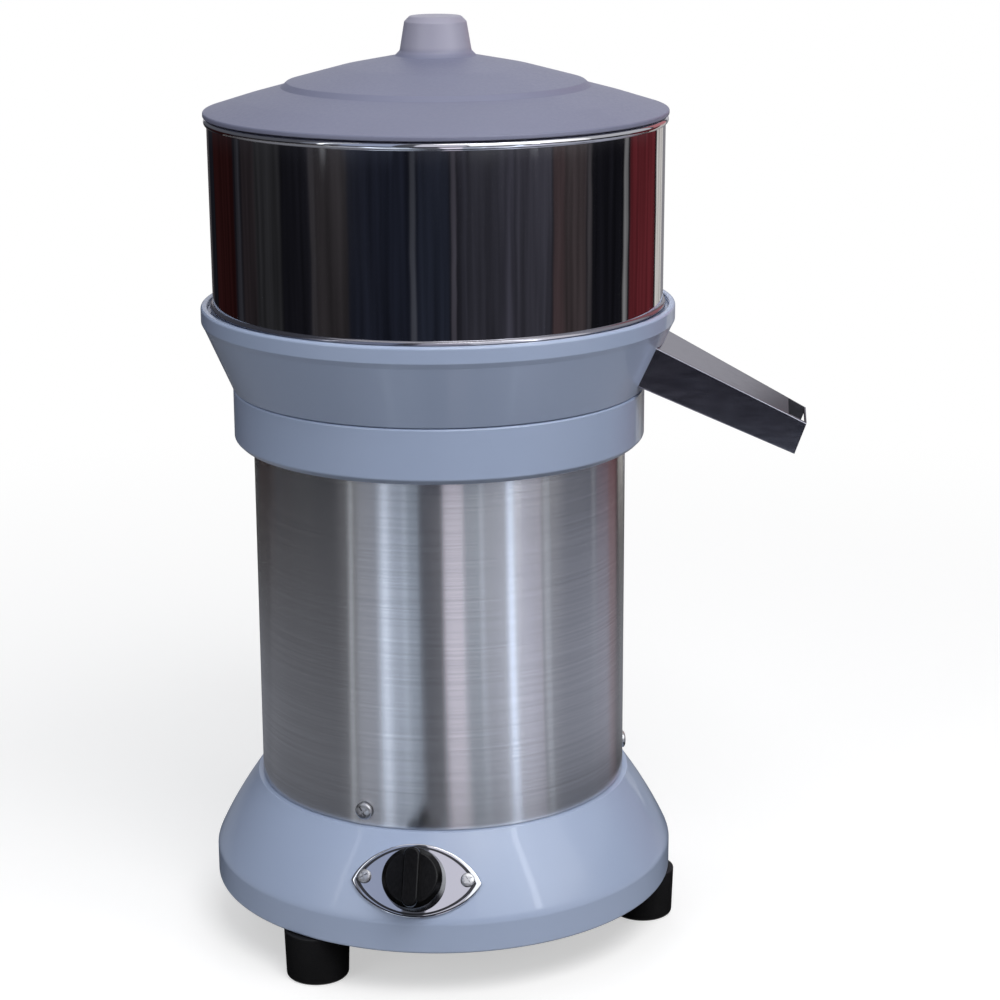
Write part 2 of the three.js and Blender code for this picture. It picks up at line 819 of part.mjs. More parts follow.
const pinShape = rod(pinRadius, -pinLength / 2, pinLength / 2, screwSides);
const drivePin = addMesh('drive_pin', pinShape, 'steel');
drivePin.rotation.x = Math.PI / 2;
drivePin.position.z = zPin;

// Reamer: a hollow ribbed cone with a hub that fits the shaft and straddles the pin

const zReamerTop = zReamer + reamerHeight;
const reamerOuter = reamerShares.map(([radiusShare, heightShare]) => [
  reamerRadius * radiusShare,
  zReamer + reamerHeight * heightShare,
]);
const hubBore = shaftTipRadius + seatGap;
const hubCeiling = shaftTop + seatGap;
const zHub = zPin - pinRadius - shaftTipRadius;
const webHeight = hubCeiling - reamerWebDrop;
const [, , reamerLow, reamerMiddle] = reamerOuter;
const reamerBody = turn([
  [0, zReamerTop],
  ...reamerOuter.toReversed(),
  [reamerRadius - reamerWall, zReamer],
  [reamerLow[0] - reamerWall, reamerLow[1] - reamerWall / 2],
  [reamerMiddle[0] - reamerWall, webHeight],
  [reamerHubRadius, webHeight],
  [reamerHubRadius, zHub],
  [hubBore, zHub],
  [hubBore, hubCeiling],
  [0, hubCeiling],
], ribCount * 4);

// Raises ribs on the outside of the cone, fading out towards its foot and its tip
function ribbed(geometry) {
  const positions = geometry.getAttribute('position');
  const point = new THREE.Vector3();
  for (let i = 0; i < positions.count; i += 1) {
    point.fromBufferAttribute(positions, i);
    const radius = Math.hypot(point.x, point.y);
    const outside = reamerOuter.slice(2, -1).some(([lineRadius, lineHeight]) => (
      Math.abs(radius - lineRadius) < seatGap && Math.abs(point.z - lineHeight) < seatGap
    ));
    if (!outside) continue;
    const crest = Math.cos(Math.atan2(point.y, point.x) * ribCount);
    const scale = (radius + (ribDepth * crest) / 2) / radius;
    positions.setXYZ(i, point.x * scale, point.y * scale, point.z);
  }
  return geometry;
}
const pinSlotTop = zPin + pinRadius + seatGap;
const pinSlotBottom = zHub - cutOverrun;
const pinSlot = block(
  2 * (pinRadius + seatGap),
  2 * reamerHubRadius + seatGap,
  pinSlotTop - pinSlotBottom,
);
pinSlot.translate(0, 0, (pinSlotTop + pinSlotBottom) / 2);
addMesh('reamer', cut(ribbed(reamerBody), pinSlot), 'white');

// Juice tray

const trayFootRadius = collarRadius;
const sleeveInner = bossRadius + seatGap;
const sleeveOuter = sleeveInner + trayWall;
const rimInner = trayRimRadius - trayRimWall;
const ledgeInner = rimInner - trayLedgeWidth;
const strainerSeatInner = ledgeInner - strainerSeatWidth;
const zTrayHollow = zTray + trayFootDepth;
const trayInnerLine = [
  [strainerSeatInner, zStrainer],
  [trayFloorRadius + trayWall / 2, zTrayFloor + trayWall / 2],
  [trayFloorRadius, zTrayFloor],
];
const trayShell = turn([
  [trayFootRadius - trayFootWidth, zTray],
  [trayFootRadius, zTray],
  [trayRimRadius - trayRimRound, zLip - edgeRound],
  [trayRimRadius, zLip + trayRimRound],
  [trayRimRadius, zRim - edgeRound],
  [trayRimRadius - trayRimRound, zRim],
  [rimInner, zRim],
  [rimInner, zLedge],
  [ledgeInner, zLedge],
  [ledgeInner, zStrainer],
  ...trayInnerLine,
  [sleeveOuter, zTrayFloor + trayWall / 2],
  [sleeveOuter - trayWall / 3, zSleeveTop],
  [sleeveInner, zSleeveTop],
  [sleeveInner, zTray],
  [sleeveOuter, zTray],
  [sleeveOuter, zTrayHollow],
  [trayFootRadius - trayFootWidth, zTrayHollow],
]);

// Spout: side walls, floor and top are planes, and it narrows towards the mouth
const spoutRootX = trayFootRadius;
const spoutSlope = Math.tan(radians(spoutSlopeDegrees));
const spoutLean = Math.tan(radians(spoutLeanDegrees));
const zSpoutRoot = zTray + spoutRootRise;
const mouthBottomX = spoutReach - spoutTipHeight * spoutLean;
const spoutRun = mouthBottomX - spoutRootX;
const spoutHalfWidth = (x) => (
  spoutRootWidth + ((spoutTipWidth - spoutRootWidth) * (x - spoutRootX)) / spoutRun
) / 2;
const spoutFloor = (x) => zSpoutRoot - (x - spoutRootX) * spoutSlope;
const spoutCeiling = (x) => (
  spoutFloor(x) + spoutRootHeight + ((spoutTipHeight - spoutRootHeight) * (x - spoutRootX)) / spoutRun
);

// A duct's solid between two stations, each with its own x at the bottom and at the top
function ductSolid(start, end, inset, raise = 0) {
  const corners = [];
  for (const [bottomX, topX] of [start, end]) {
    const rings = [
      [bottomX, -1, spoutFloor(bottomX) + inset],
      [bottomX, 1, spoutFloor(bottomX) + inset],
      [topX, 1, spoutCeiling(topX) - inset + raise],
      [topX, -1, spoutCeiling(topX) - inset + raise],
    ];
    for (const [x, side, z] of rings) corners.push(x, side * (spoutHalfWidth(x) - inset), z);
  }
  const geometry = new THREE.BufferGeometry();
  geometry.setAttribute('position', new THREE.Float32BufferAttribute(corners, 3));
  geometry.setIndex([
    0, 2, 1, 0, 3, 2,
    4, 5, 6, 4, 6, 7,
    0, 1, 5, 0, 5, 4,
    1, 2, 6, 1, 6, 5,
    2, 3, 7, 2, 7, 6,
    3, 0, 4, 3, 4, 7,
  ]);
  return closed(geometry);
}

const insideX = trayFloorRadius - spoutRootHeight;
const mouth = [mouthBottomX, spoutReach];
const beyondMouth = mouth.map((x) => x + cutOverrun);
const beforeInside = insideX - cutOverrun;
const notchStart = spoutReach - spoutMouthSetback;
const trayPort = ductSolid([insideX, insideX], [trayRimRadius, trayRimRadius], -seatGap);
addMesh('juice_tray', cut(trayShell, trayPort), 'paint');

const flangeTop = trayInnerLine[0].map((value, i) => (
  THREE.MathUtils.lerp(trayInnerLine[1][i], value, spoutFlangeShare)
));
const flangeSeat = [flangeTop, ...trayInnerLine.slice(1)];
const flangeLine = offsetLine(flangeSeat, seatGap);
const flangeFace = offsetLine(flangeSeat, seatGap + spoutFlangeWall);
const flangeRing = turn([...flangeLine.toReversed(), ...flangeFace]);
const insideFlange = turn([
  [0, flangeFace[0][1] + spoutRootHeight],
  [0, flangeFace[2][1] - spoutRootHeight],
  [flangeFace[2][0], flangeFace[2][1] - spoutRootHeight],
  flangeFace[2],
  flangeFace[1],
  flangeFace[0],
  [flangeFace[0][0], flangeFace[0][1] + spoutRootHeight],
].toReversed());
const flangeBlank = ductSolid([insideX, insideX], [trayRimRadius, trayRimRadius], -spoutFlange);
addMesh('spout', cut(
  join(
    cut(ductSolid([insideX, insideX], mouth, 0), insideFlange),
    overlap(flangeRing, flangeBlank),
  ),
  ductSolid([beforeInside, beforeInside], beyondMouth, spoutWall),
  ductSolid([notchStart, notchStart], beyondMouth, spoutWall, spoutRootHeight),
), 'polished');

// Strainer

const strainerRadius = ledgeInner - 2 * seatGap;
const zDisc = zStrainer + seatGap;
const strainerShell = turn([
  [strainerHoleRadius, zDisc],
  [strainerRadius, zDisc],
  [strainerRadius, zDisc + strainerRimHeight],
  [strainerRadius - strainerWall, zDisc + strainerRimHeight],
  [strainerRadius - strainerWall, zDisc + strainerWall],
  [strainerHoleRadius + strainerWall, zDisc + strainerWall],
  [strainerHoleRadius + strainerWall, zDisc + strainerCollarHeight],
  [strainerHoleRadius, zDisc + strainerCollarHeight],
]);
const slotBand = strainerSeatInner - strainerHoleRadius - strainerWall;
const strainerSlots = [];
for (let row = 0; row < slotRows; row += 1) {
  const slot = block(slotWidth, slotLength, strainerWall + 2 * cutOverrun);
  const reach = strainerHoleRadius + strainerWall + (slotBand * (row + 0.5)) / slotRows;
  slot.translate(0, -reach, zDisc + strainerWall / 2);
  strainerSlots.push(...spread(slot, slotsInRow, (row * 180) / slotsInRow));
}
addMesh('strainer', cut(strainerShell, ...strainerSlots), 'steel');

// Splash bowl: an open ring with a rolled bead at each end

function beadPoints(radius, height, [fromDegrees, toDegrees]) {
  return Array.from({ length: beadSteps + 1 }, (_, i) => {
    const angle = radians(THREE.MathUtils.lerp(fromDegrees, toDegrees, i / beadSteps));
    return [radius + beadRadius * Math.cos(angle), height + beadRadius * Math.sin(angle)];
  });
}
const beadCircle = bowlRadius - bowlWall / 2;
const beadTopCircle = beadCircle + bowlTaper;
const beadTurn = [-beadNeckDegrees, 180 + beadNeckDegrees];
addMesh('bowl_ring', turn([
  ...beadPoints(beadCircle, zBowl + beadRadius, beadTurn.map((degrees) => degrees - 180)),
  ...beadPoints(beadTopCircle, zBowlTop - beadRadius, beadTurn),
]), 'polished');

// Lid

const zLidEdge = zLid + lidEdgeHeight;
const zLidStep = zLidEdge + lidRise * lidStepShares[1];
const zKnobFoot = zLidEdge + lidRise;
const zKnobTop = zKnobFoot + knobHeight;
const lidTopLine = [
  [lidRadius, zLid],
  [lidRadius, zLidEdge],
  [lidRadius * lidOuterShares[0], zLidEdge + lidRise * lidOuterShares[1]],
  [lidRadius * lidStepShares[0], zLidStep],
  [lidStepRadius - lidStepHeight / 2, zLidStep + lidStepHeight],
  [(lidStepRadius + knobFootRadius) / 2, zLidEdge + lidRise * lidInnerShare],
  [knobFootRadius + lidStepHeight, zKnobFoot],
  [knobFootRadius, zKnobFoot + lidStepHeight],
  [knobRadius, zKnobTop - knobRound],
  [knobRadius - knobRound, zKnobTop],
];
const skirtRadius = beadCircle - beadRadius - 2 * seatGap;
addMesh('lid', turn([
  [0, zKnobTop - lidWall],
  [knobRadius - lidWall, zKnobTop - lidWall],
  [knobFootRadius - lidWall, zKnobFoot],
  [lidStepRadius - 2 * lidWall, zLidStep + lidStepHeight - lidWall],
  [lidStepRadius, zLidStep - lidWall],
  [skirtRadius - lidWall, zLid + lidEdgeHeight / 2],
  [skirtRadius - lidWall, zLid - lidSkirtDepth],
  [skirtRadius, zLid - lidSkirtDepth],
  [skirtRadius, zLid],
  ...lidTopLine,
  [0, zKnobTop],
]), 'lidPaint');

// Switch on the cone's front

const half = switchPlateLength / 2;
const plateRise = switchPlateHeight / 2;
const eyeTip = half * eyeShares[0];
const eyeSide = plateRise * eyeShares[1];
const eyeTop = half * eyeShares[2];
const eye = new THREE.Shape();
eye.moveTo(-half, 0);
eye.bezierCurveTo(-eyeTip, eyeSide, -eyeTop, plateRise, 0, plateRise);
eye.bezierCurveTo(eyeTop, plateRise, eyeTip, eyeSide, half, 0);
eye.bezierCurveTo(eyeTip, -eyeSide, eyeTop, -plateRise, 0, -plateRise);
eye.bezierCurveTo(-eyeTop, -plateRise, -eyeTip, -eyeSide, -half, 0);
const eyeBlank = new THREE.ExtrudeGeometry(eye, {
  depth: 2 * switchKnobHeight,
  bevelEnabled: false,
  curveSegments: 4,
});
eyeBlank.translate(0, 0, -switchKnobHeight);
const plateLine = offsetLine(baseOuterLine, seatGap);
const plateFace = offsetLine(baseOuterLine, plateTop);
const plateSkin = turn([...plateLine, ...plateFace.toReversed()]);
addMesh('switch_plate', cut(
  overlap(plateSkin, toCone(eyeBlank)),
  switchHole,
  ...plateScrewHoles,
), 'polished');

const plateScrewShape = screwShape(plateScrew, plateScrewLength);
[-plateScrewTurn, plateScrewTurn].forEach((degrees, i) => {
  const screw = addMesh(
    `plate_screw_${i + 1}`,
    plateScrewShape.clone(),
    'steel',
    ontoCone(turned(degrees)),
  );
  screw.position.z = plateTop + seatGap;
});

const switchCarrier = ontoCone(machine);
const zSwitchBody = -switchBodyDepth;
const zNut = plateTop + switchNutLift;
const neckTop = zNut + switchNutHeight + seatGap;
addMesh('switch_body', cut(
  join(
    rod(switchBodyRadius, zSwitchBody - switchBodyLength, zSwitchBody),
    rod(switchNeckRadius, zSwitchBody - seatGap, neckTop),
  ),
  rod(spindleRadius + seatGap, zSwitchBody - switchBodyLength / 2, neckTop + cutOverrun),
), 'black', switchCarrier);
const switchNut = addMesh(
  'switch_nut',
  nutShape(switchNeckRadius + seatGap, switchNutRadius, switchNutHeight, smallSides),
  'zinc',
  switchCarrier,
);
switchNut.position.z = zNut;

const zKnobFace = plateTop + switchKnobLift;
const zKnobHollow = zNut + switchNutHeight + 2 * seatGap + spindleRadius;
const zSwitchKnobTop = zKnobFace + switchKnobHeight;
const spindleTop = zSwitchKnobTop - gripHeight - 2 * seatGap;
addMesh('switch_spindle', rod(
  spindleRadius,
  zSwitchBody - switchBodyLength / 2 + seatGap,
  spindleTop - seatGap,
  screwSides,
), 'steel', switchCarrier);
const knobBody = turn([
  [0, zSwitchKnobTop - gripHeight / 2],
  [0, spindleTop],
  [spindleRadius + seatGap, spindleTop],
  [spindleRadius + seatGap, zKnobHollow],
  [switchNutRadius + switchNutSpace, zKnobHollow],
  [switchNutRadius + switchNutSpace, zKnobFace],
  [switchKnobRadius, zKnobFace],
  [switchKnobRadius - 2 * seatGap, zSwitchKnobTop - gripHeight],
  [switchKnobRadius - gripHeight / 2, zSwitchKnobTop - gripHeight / 2],
].toReversed(), smallSides);
const gripBar = block(gripWidth, 2 * switchKnobRadius, 2 * gripHeight);
gripBar.translate(0, 0, zSwitchKnobTop - gripHeight);
const gripLimit = rod(switchKnobRadius - 2 * seatGap, zKnobHollow + seatGap, zSwitchKnobTop);
addMesh('switch_knob', join(knobBody, overlap(gripBar, cut(
  gripLimit,
  rod(spindleRadius + seatGap, zKnobHollow - cutOverrun, spindleTop),
))), 'black', switchCarrier);

// Cord gland at the back

const glandCarrier = ontoCone(turned(180), glandPlace);
addMesh('cord_gland', cut(
  join(
    turn([
      [0, 2 * seatGap],
      [glandRadius, 2 * seatGap],
      [glandRadius, glandLength / 2],
      [glandRadius - seatGap, glandLength / 2 + seatGap],
      [(glandRadius + glandBore) / 2, glandLength],
      [0, glandLength],
    ], screwSides),
    rod(glandThreadRadius, -glandNutDepth - glandNutHeight - cutOverrun, glandLength / 2),
  ),
  rod(glandBore, -glandNutDepth - glandNutHeight - 2 * cutOverrun, glandLength + cutOverrun, screwSides),
), 'black', glandCarrier);
const glandNut = addMesh(
  'gland_nut',
  nutShape(glandThreadRadius + seatGap, glandRadius + seatGap, glandNutHeight, smallSides),
  'black',
  glandCarrier,
);
glandNut.position.z = -glandNutDepth - glandNutHeight;

// Electrics on the bottom plate

const zPlateTop = zBase + plateThickness;
const capacitorShape = rod(capacitorRadius, -capacitorLength / 2, capacitorLength / 2);
const capacitor = addMesh('run_capacitor', capacitorShape, 'white');
capacitor.rotation.y = Math.PI / 2;
capacitor.position.set(
  capacitorRadius,
  capacitorRadius + glandRadius / 2,
  zPlateTop + seatGap + capacitorRadius,
);

const strapRadius = capacitorRadius + seatGap;
const strapDrop = capacitorRadius + seatGap / 2;
const strap = new THREE.Shape();
strap.moveTo(-strapRadius - strapTab, -strapDrop);
strap.lineTo(-strapRadius, -strapDrop);
strap.lineTo(-strapRadius, 0);
strap.absarc(0, 0, strapRadius, Math.PI, 0, true);
strap.lineTo(strapRadius, -strapDrop);
strap.lineTo(strapRadius + strapTab, -strapDrop);
strap.lineTo(strapRadius + strapTab, -strapDrop + strapWall);
strap.lineTo(strapRadius + strapWall, -strapDrop + strapWall);
strap.lineTo(strapRadius + strapWall, 0);
strap.absarc(0, 0, strapRadius + strapWall, 0, Math.PI, false);
strap.lineTo(-strapRadius - strapWall, -strapDrop + strapWall);
strap.lineTo(-strapRadius - strapTab, -strapDrop + strapWall);
const clampShape = closed(new THREE.ExtrudeGeometry(strap, {
  depth: strapWidth,
  bevelEnabled: false,
  curveSegments: 5,
}));
clampShape.rotateX(Math.PI / 2);
clampShape.rotateZ(Math.PI / 2);
const clamp = addMesh('capacitor_clamp', clampShape, 'zinc');
clamp.position.copy(capacitor.position);
clamp.position.x -= strapWidth / 2;

const [terminalLength, terminalDepth, terminalHeight] = terminalSize;
const terminalBody = block(terminalLength, terminalDepth, terminalHeight);
const terminalHoles = Array.from({ length: terminalWays }, (_, i) => {
  const tool = rod(panScrew.shank, 0, terminalHeight, screwSides);
  tool.translate((terminalLength * (i + 0.5)) / terminalWays - terminalLength / 2, 0, 0);
  return tool;
});
const terminal = addMesh('terminal_block', cut(terminalBody, ...terminalHoles), 'black');
terminal.position.set(-terminalLength, terminalDepth, zPlateTop + seatGap + terminalHeight / 2);

// The origin goes to the middle of the whole box, on the floor
machine.updateMatrixWorld(true);
const wholeBox = new THREE.Box3().setFromObject(machine, true);
const middle = wholeBox.getCenter(new THREE.Vector3());
machine.position.set(-middle.x, -middle.y, -wholeBox.min.z);
machine.updateMatrixWorld(true);

export default machine;
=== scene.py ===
import math

import bmesh
import bpy
from mathutils import Matrix, Vector


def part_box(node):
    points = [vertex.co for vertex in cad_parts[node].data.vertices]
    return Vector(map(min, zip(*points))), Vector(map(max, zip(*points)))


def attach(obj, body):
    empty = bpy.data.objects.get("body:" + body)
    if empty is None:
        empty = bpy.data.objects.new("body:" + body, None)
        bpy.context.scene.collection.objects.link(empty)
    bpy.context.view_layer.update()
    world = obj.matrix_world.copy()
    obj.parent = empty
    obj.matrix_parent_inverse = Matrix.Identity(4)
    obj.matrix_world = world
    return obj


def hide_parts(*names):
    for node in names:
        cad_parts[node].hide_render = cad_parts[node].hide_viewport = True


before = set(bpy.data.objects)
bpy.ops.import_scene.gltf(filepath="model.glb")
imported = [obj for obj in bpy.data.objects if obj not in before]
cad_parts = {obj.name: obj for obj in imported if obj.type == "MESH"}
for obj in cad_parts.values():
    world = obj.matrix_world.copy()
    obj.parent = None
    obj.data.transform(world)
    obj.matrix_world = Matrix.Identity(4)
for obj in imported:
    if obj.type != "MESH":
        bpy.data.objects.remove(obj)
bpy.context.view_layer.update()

# Commercial citrus juicer, in metres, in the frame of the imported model.
# Sizes in the dictionaries are millimetres; radii are taken from the machine's axis.
mm = 0.001
collarLow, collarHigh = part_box("top_collar")
axis = (collarLow + collarHigh) / 2
axis.z = 0
roundSteps = 192
print("frame loaded, axis at", [round(v / mm, 2) for v in axis])


# Outlines and meshes

def roundedOutline(corners, arcSteps=5):
    # corners are (radius, height) or (radius, height, rounding)
    line = []
    for i, corner in enumerate(corners):
        here = Vector(corner[:2])
        rounding = corner[2] if len(corner) > 2 else 0
        if not rounding:
            line.append(here)
            continue
        back = (Vector(corners[i - 1][:2]) - here).normalized()
        ahead = (Vector(corners[(i + 1) % len(corners)][:2]) - here).normalized()
        half = back.angle(ahead) / 2
        centre = here + (back + ahead).normalized() * rounding / math.sin(half)
        start = here + back * rounding / math.tan(half) - centre
        end = here + ahead * rounding / math.tan(half) - centre
        turn = start.angle_signed(end)
        for step in range(arcSteps + 1):
            line.append(centre + Matrix.Rotation(-turn * step / arcSteps, 2) @ start)
    return line


def roundedBox(wide, low, high, rounding, arcSteps):
    # a rectangle from -wide to wide across, with rounded corners
    return roundedOutline([(-wide, low, rounding), (wide, low, rounding), (wide, high, rounding),
                           (-wide, high, rounding)], arcSteps)


def bezier(points, steps):
    # a curve through the first and last point, pulled by those between
    line = []
    for step in range(steps + 1):
        level = [Vector(p) for p in points]
        while len(level) > 1:
            level = [a.lerp(b, step / steps) for a, b in zip(level, level[1:])]
        line.append(level[0])
    return line


def newObject(name, data):
    item = bpy.data.objects.new(name, data)
    bpy.context.scene.collection.objects.link(item)
    return item


def makePiece(name, verts, faces, place=None):
    mesh = bpy.data.meshes.new(name)
    mesh.from_pydata([Vector(v) for v in verts], [], faces)
    shape = bmesh.new()
    shape.from_mesh(mesh)
    bmesh.ops.remove_doubles(shape, verts=shape.verts, dist=1e-4)
    bmesh.ops.recalc_face_normals(shape, faces=shape.faces)
    shape.to_mesh(mesh)
    shape.free()
    if place:
        mesh.transform(place)
    return newObject(name, mesh)


def revolve(name, outline, sides=roundSteps, ripple=None, place=None):
    # turns a closed outline about the axis; one that starts and ends at radius 0 closes there
    onAxis = outline[0][0] < 1e-6 and outline[-1][0] < 1e-6
    verts, rings, faces = [], [], []
    for radius, height in outline:
        if radius < 1e-6:
            rings.append([len(verts)] * sides)
            verts.append((0, 0, height))
            continue
        rings.append(range(len(verts), len(verts) + sides))
        for i in range(sides):
            angle = 2 * math.pi * i / sides
            reach = ripple(radius, height, angle) if ripple else radius
            verts.append((reach * math.cos(angle), reach * math.sin(angle), height))
    pairs = list(zip(rings, rings[1:]))
    if not onAxis:
        pairs.append((rings[-1], rings[0]))
    for low, high in pairs:
        for i in range(sides):
            j = (i + 1) % sides
            corners = [low[i], low[j], high[j], high[i]]
            faces.append(tuple(dict.fromkeys(corners)))
    return makePiece(name, verts, faces, place)


def loft(name, sections, place=None):
    # skins closed sections of equal length and caps both ends
    count = len(sections[0])
    verts = [point for section in sections for point in section]
    faces = [tuple(range(count)), tuple(range(len(verts) - count, len(verts)))]
    for k in range(len(sections) - 1):
        for i in range(count):
            j = (i + 1) % count
            faces.append((k * count + i, k * count + j, (k + 1) * count + j, (k + 1) * count + i))
    return makePiece(name, verts, faces, place)


def boxPiece(name, size, centre=(0, 0, 0), place=None):
    half = Vector(size) / 2
    verts = [Vector(centre) + Vector((x * half.x, y * half.y, z * half.z))
             for x in (-1, 1) for y in (-1, 1) for z in (-1, 1)]
    faces = [(0, 1, 3, 2), (4, 6, 7, 5), (0, 4, 5, 1), (2, 3, 7, 6), (0, 2, 6, 4), (1, 5, 7, 3)]
    return makePiece(name, verts, faces, place)


def applied(piece):
    # the mesh with its modifiers made real
    graph = bpy.context.evaluated_depsgraph_get()
    piece.data = bpy.data.meshes.new_from_object(piece.evaluated_get(graph))
    piece.modifiers.clear()


def shaped(piece, tools, how="DIFFERENCE"):
    # applies booleans and removes the tools
    for tool in tools:
        step = piece.modifiers.new(how.lower(), "BOOLEAN")
        step.operation = how
        step.solver = "EXACT"
        step.object = tool
    applied(piece)
    for tool in tools:
        bpy.data.objects.remove(tool)


def joined(name, parts):
    # one mesh with all the parts' loose shells
    mesh = bpy.data.meshes.new(name)
    shape = bmesh.new()
    for part in parts:
        shape.from_mesh(part.data)
        bpy.data.objects.remove(part)
    shape.to_mesh(mesh)
    shape.free()
    return newObject(name, mesh)


def beveled(piece, width, segments, angle):
    step = piece.modifiers.new("edges", "BEVEL")
    step.width = width
    step.segments = segments
    step.limit_method = "ANGLE"
    step.angle_limit = math.radians(angle)
    applied(piece)


def turnedBy(degrees):
    return Matrix.Rotation(math.radians(degrees), 4, "Z")


def facingOut(turn, out, height, tilt=90):
    # a place on the outside, turned from the front, whose own z points out
    return (turnedBy(turn) @ Matrix.Translation((0, -out, height))
            @ Matrix.Rotation(math.radians(tilt), 4, "X"))


def finishPiece(piece, body, materials, nodes, sharpAngle=32, faceMaterials=None):
    # from millimetres about the axis to metres in the frame, then smooth, dress and ride
    faces = piece.data.polygons
    piece.data.transform(Matrix.Translation(axis) @ Matrix.Scale(mm, 4))
    piece.data.materials.clear()
    for material in materials:
        piece.data.materials.append(finishes[material])
    if faceMaterials:
        faces.foreach_set("material_index", faceMaterials)
    faces.foreach_set("use_smooth", [True] * len(faces))
    piece.data.set_sharp_from_angle(angle=math.radians(sharpAngle))
    normals = piece.modifiers.new("evenShading", "WEIGHTED_NORMAL")
    normals.keep_sharp = True
    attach(piece, body)
    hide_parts(*nodes)


# Shader nodes, and effects that several materials share

def feed(tree, node, inputs):
    # a socket is linked to the named or numbered input, any other value is set on it
    for name, value in inputs.items():
        if isinstance(value, bpy.types.NodeSocket):
            tree.links.new(value, node.inputs[name])
        else:
            node.inputs[name].default_value = value


def addNode(tree, kind, inputs=None, **settings):
    node = tree.nodes.new("ShaderNode" + kind)
    for name, value in settings.items():
        setattr(node, name, value)
    feed(tree, node, inputs or {})
    return node


def smoothShare(tree, value, start, end):
    # eases from 0 at start to 1 at end
    ease = addNode(tree, "MapRange", {"Value": value, "From Min": start, "From Max": end},
                   interpolation_type="SMOOTHSTEP")
    return ease.outputs["Result"]


def tinted(tree, base, shade):
    both = addNode(tree, "Mix", {"Factor": 1, "A": base, "B": shade},
                   data_type="RGBA", blend_type="MULTIPLY")
    return both.outputs["Result"]


def effectGroup(name, inputs, outputs):
    group = bpy.data.node_groups.new(name, "ShaderNodeTree")
    for label, kind, value in inputs:
        socket = group.interface.new_socket(label, in_out="INPUT", socket_type="NodeSocket" + kind)
        socket.default_value = value
    for label, kind in outputs:
        group.interface.new_socket(label, in_out="OUTPUT", socket_type="NodeSocket" + kind)
    return group, group.nodes.new("NodeGroupInput").outputs, group.nodes.new("NodeGroupOutput")


def makeMottle():
    # slow change of shade over a surface
    values = {"detail": 4, "roughness": 0.55, "from": 0.3, "to": 0.7}
    group, given, leave = effectGroup(
        "mottle", [("Color", "Color", (0.5, 0.5, 0.5, 1)), ("Scale", "Float", 12), ("Amount", "Float", 0.05)],
        [("Color", "Color"), ("Mask", "Float")])
    place = addNode(group, "TexCoord").outputs["Object"]
    noise = addNode(group, "TexNoise", {
        "Vector": place, "Scale": given["Scale"], "Detail": values["detail"],
        "Roughness": values["roughness"]}).outputs["Fac"]
    least = addNode(group, "Math", {0: 1, 1: given["Amount"]}, operation="SUBTRACT").outputs[0]
    spread = addNode(group, "MapRange", {
        "Value": noise, "From Min": values["from"], "From Max": values["to"],
        "To Min": least, "To Max": 1}).outputs["Result"]
    grey = addNode(group, "CombineColor", dict.fromkeys(("Red", "Green", "Blue"), spread))
    feed(group, leave, {"Color": tinted(group, given["Color"], grey.outputs["Color"]), "Mask": noise})
    return group


def makeGrain():
    # fine texture, stretched on each axis; for bumps and for the spread of gloss
    values = {"detail": 3, "from": 0.25, "to": 0.75}
    group, given, leave = effectGroup(
        "grain", [("Stretch", "Vector", (1, 1, 1)), ("Scale", "Float", 400), ("Low", "Float", 0),
                  ("High", "Float", 1)],
        [("Height", "Float"), ("Value", "Float")])
    place = addNode(group, "TexCoord").outputs["Object"]
    stretched = addNode(group, "VectorMath", {0: place, 1: given["Stretch"]}, operation="MULTIPLY")
    noise = addNode(group, "TexNoise", {
        "Vector": stretched.outputs["Vector"], "Scale": given["Scale"],
        "Detail": values["detail"]}).outputs["Fac"]
    spread = addNode(group, "MapRange", {
        "Value": noise, "From Min": values["from"], "From Max": values["to"],
        "To Min": given["Low"], "To Max": given["High"]})
    feed(group, leave, {"Height": noise, "Value": spread.outputs["Result"]})
    return group


mottleEffect = makeMottle()
grainEffect = makeGrain()


def addGrain(tree, scale, stretch, low, high):
    return addNode(tree, "Group", {"Scale": scale, "Stretch": stretch, "Low": low, "High": high},
                   node_tree=grainEffect).outputs


def newMaterial(name, color, rough, mottle, grain, metallic=0, shader=None):
    # rough is (low, high), mottle (scale, amount), grain (scale, stretch, bump strength, bump distance)
    material = bpy.data.materials.new(name)
    material.use_nodes = True
    tree = material.node_tree
    scale, stretch, strength, distance = grain
    patches = addNode(tree, "Group", {"Color": (*color, 1), "Scale": mottle[0], "Amount": mottle[1]},
                      node_tree=mottleEffect)
    fine = addGrain(tree, scale, stretch, *rough)
    bump = addNode(tree, "Bump", {"Strength": strength, "Distance": distance, "Height": fine["Height"]})
    feed(tree, tree.nodes["Principled BSDF"], {
        "Base Color": patches.outputs["Color"], "Metallic": metallic, "Roughness": fine["Value"],
        "Normal": bump.outputs["Normal"], **(shader or {})})
    return material


def recolor(material, change):
    # puts another effect between the material's colour and its shader
    tree = material.node_tree
    shader = tree.nodes["Principled BSDF"]
    source = shader.inputs["Base Color"].links[0].from_socket
    feed(tree, shader, {"Base Color": change(tree, source)})


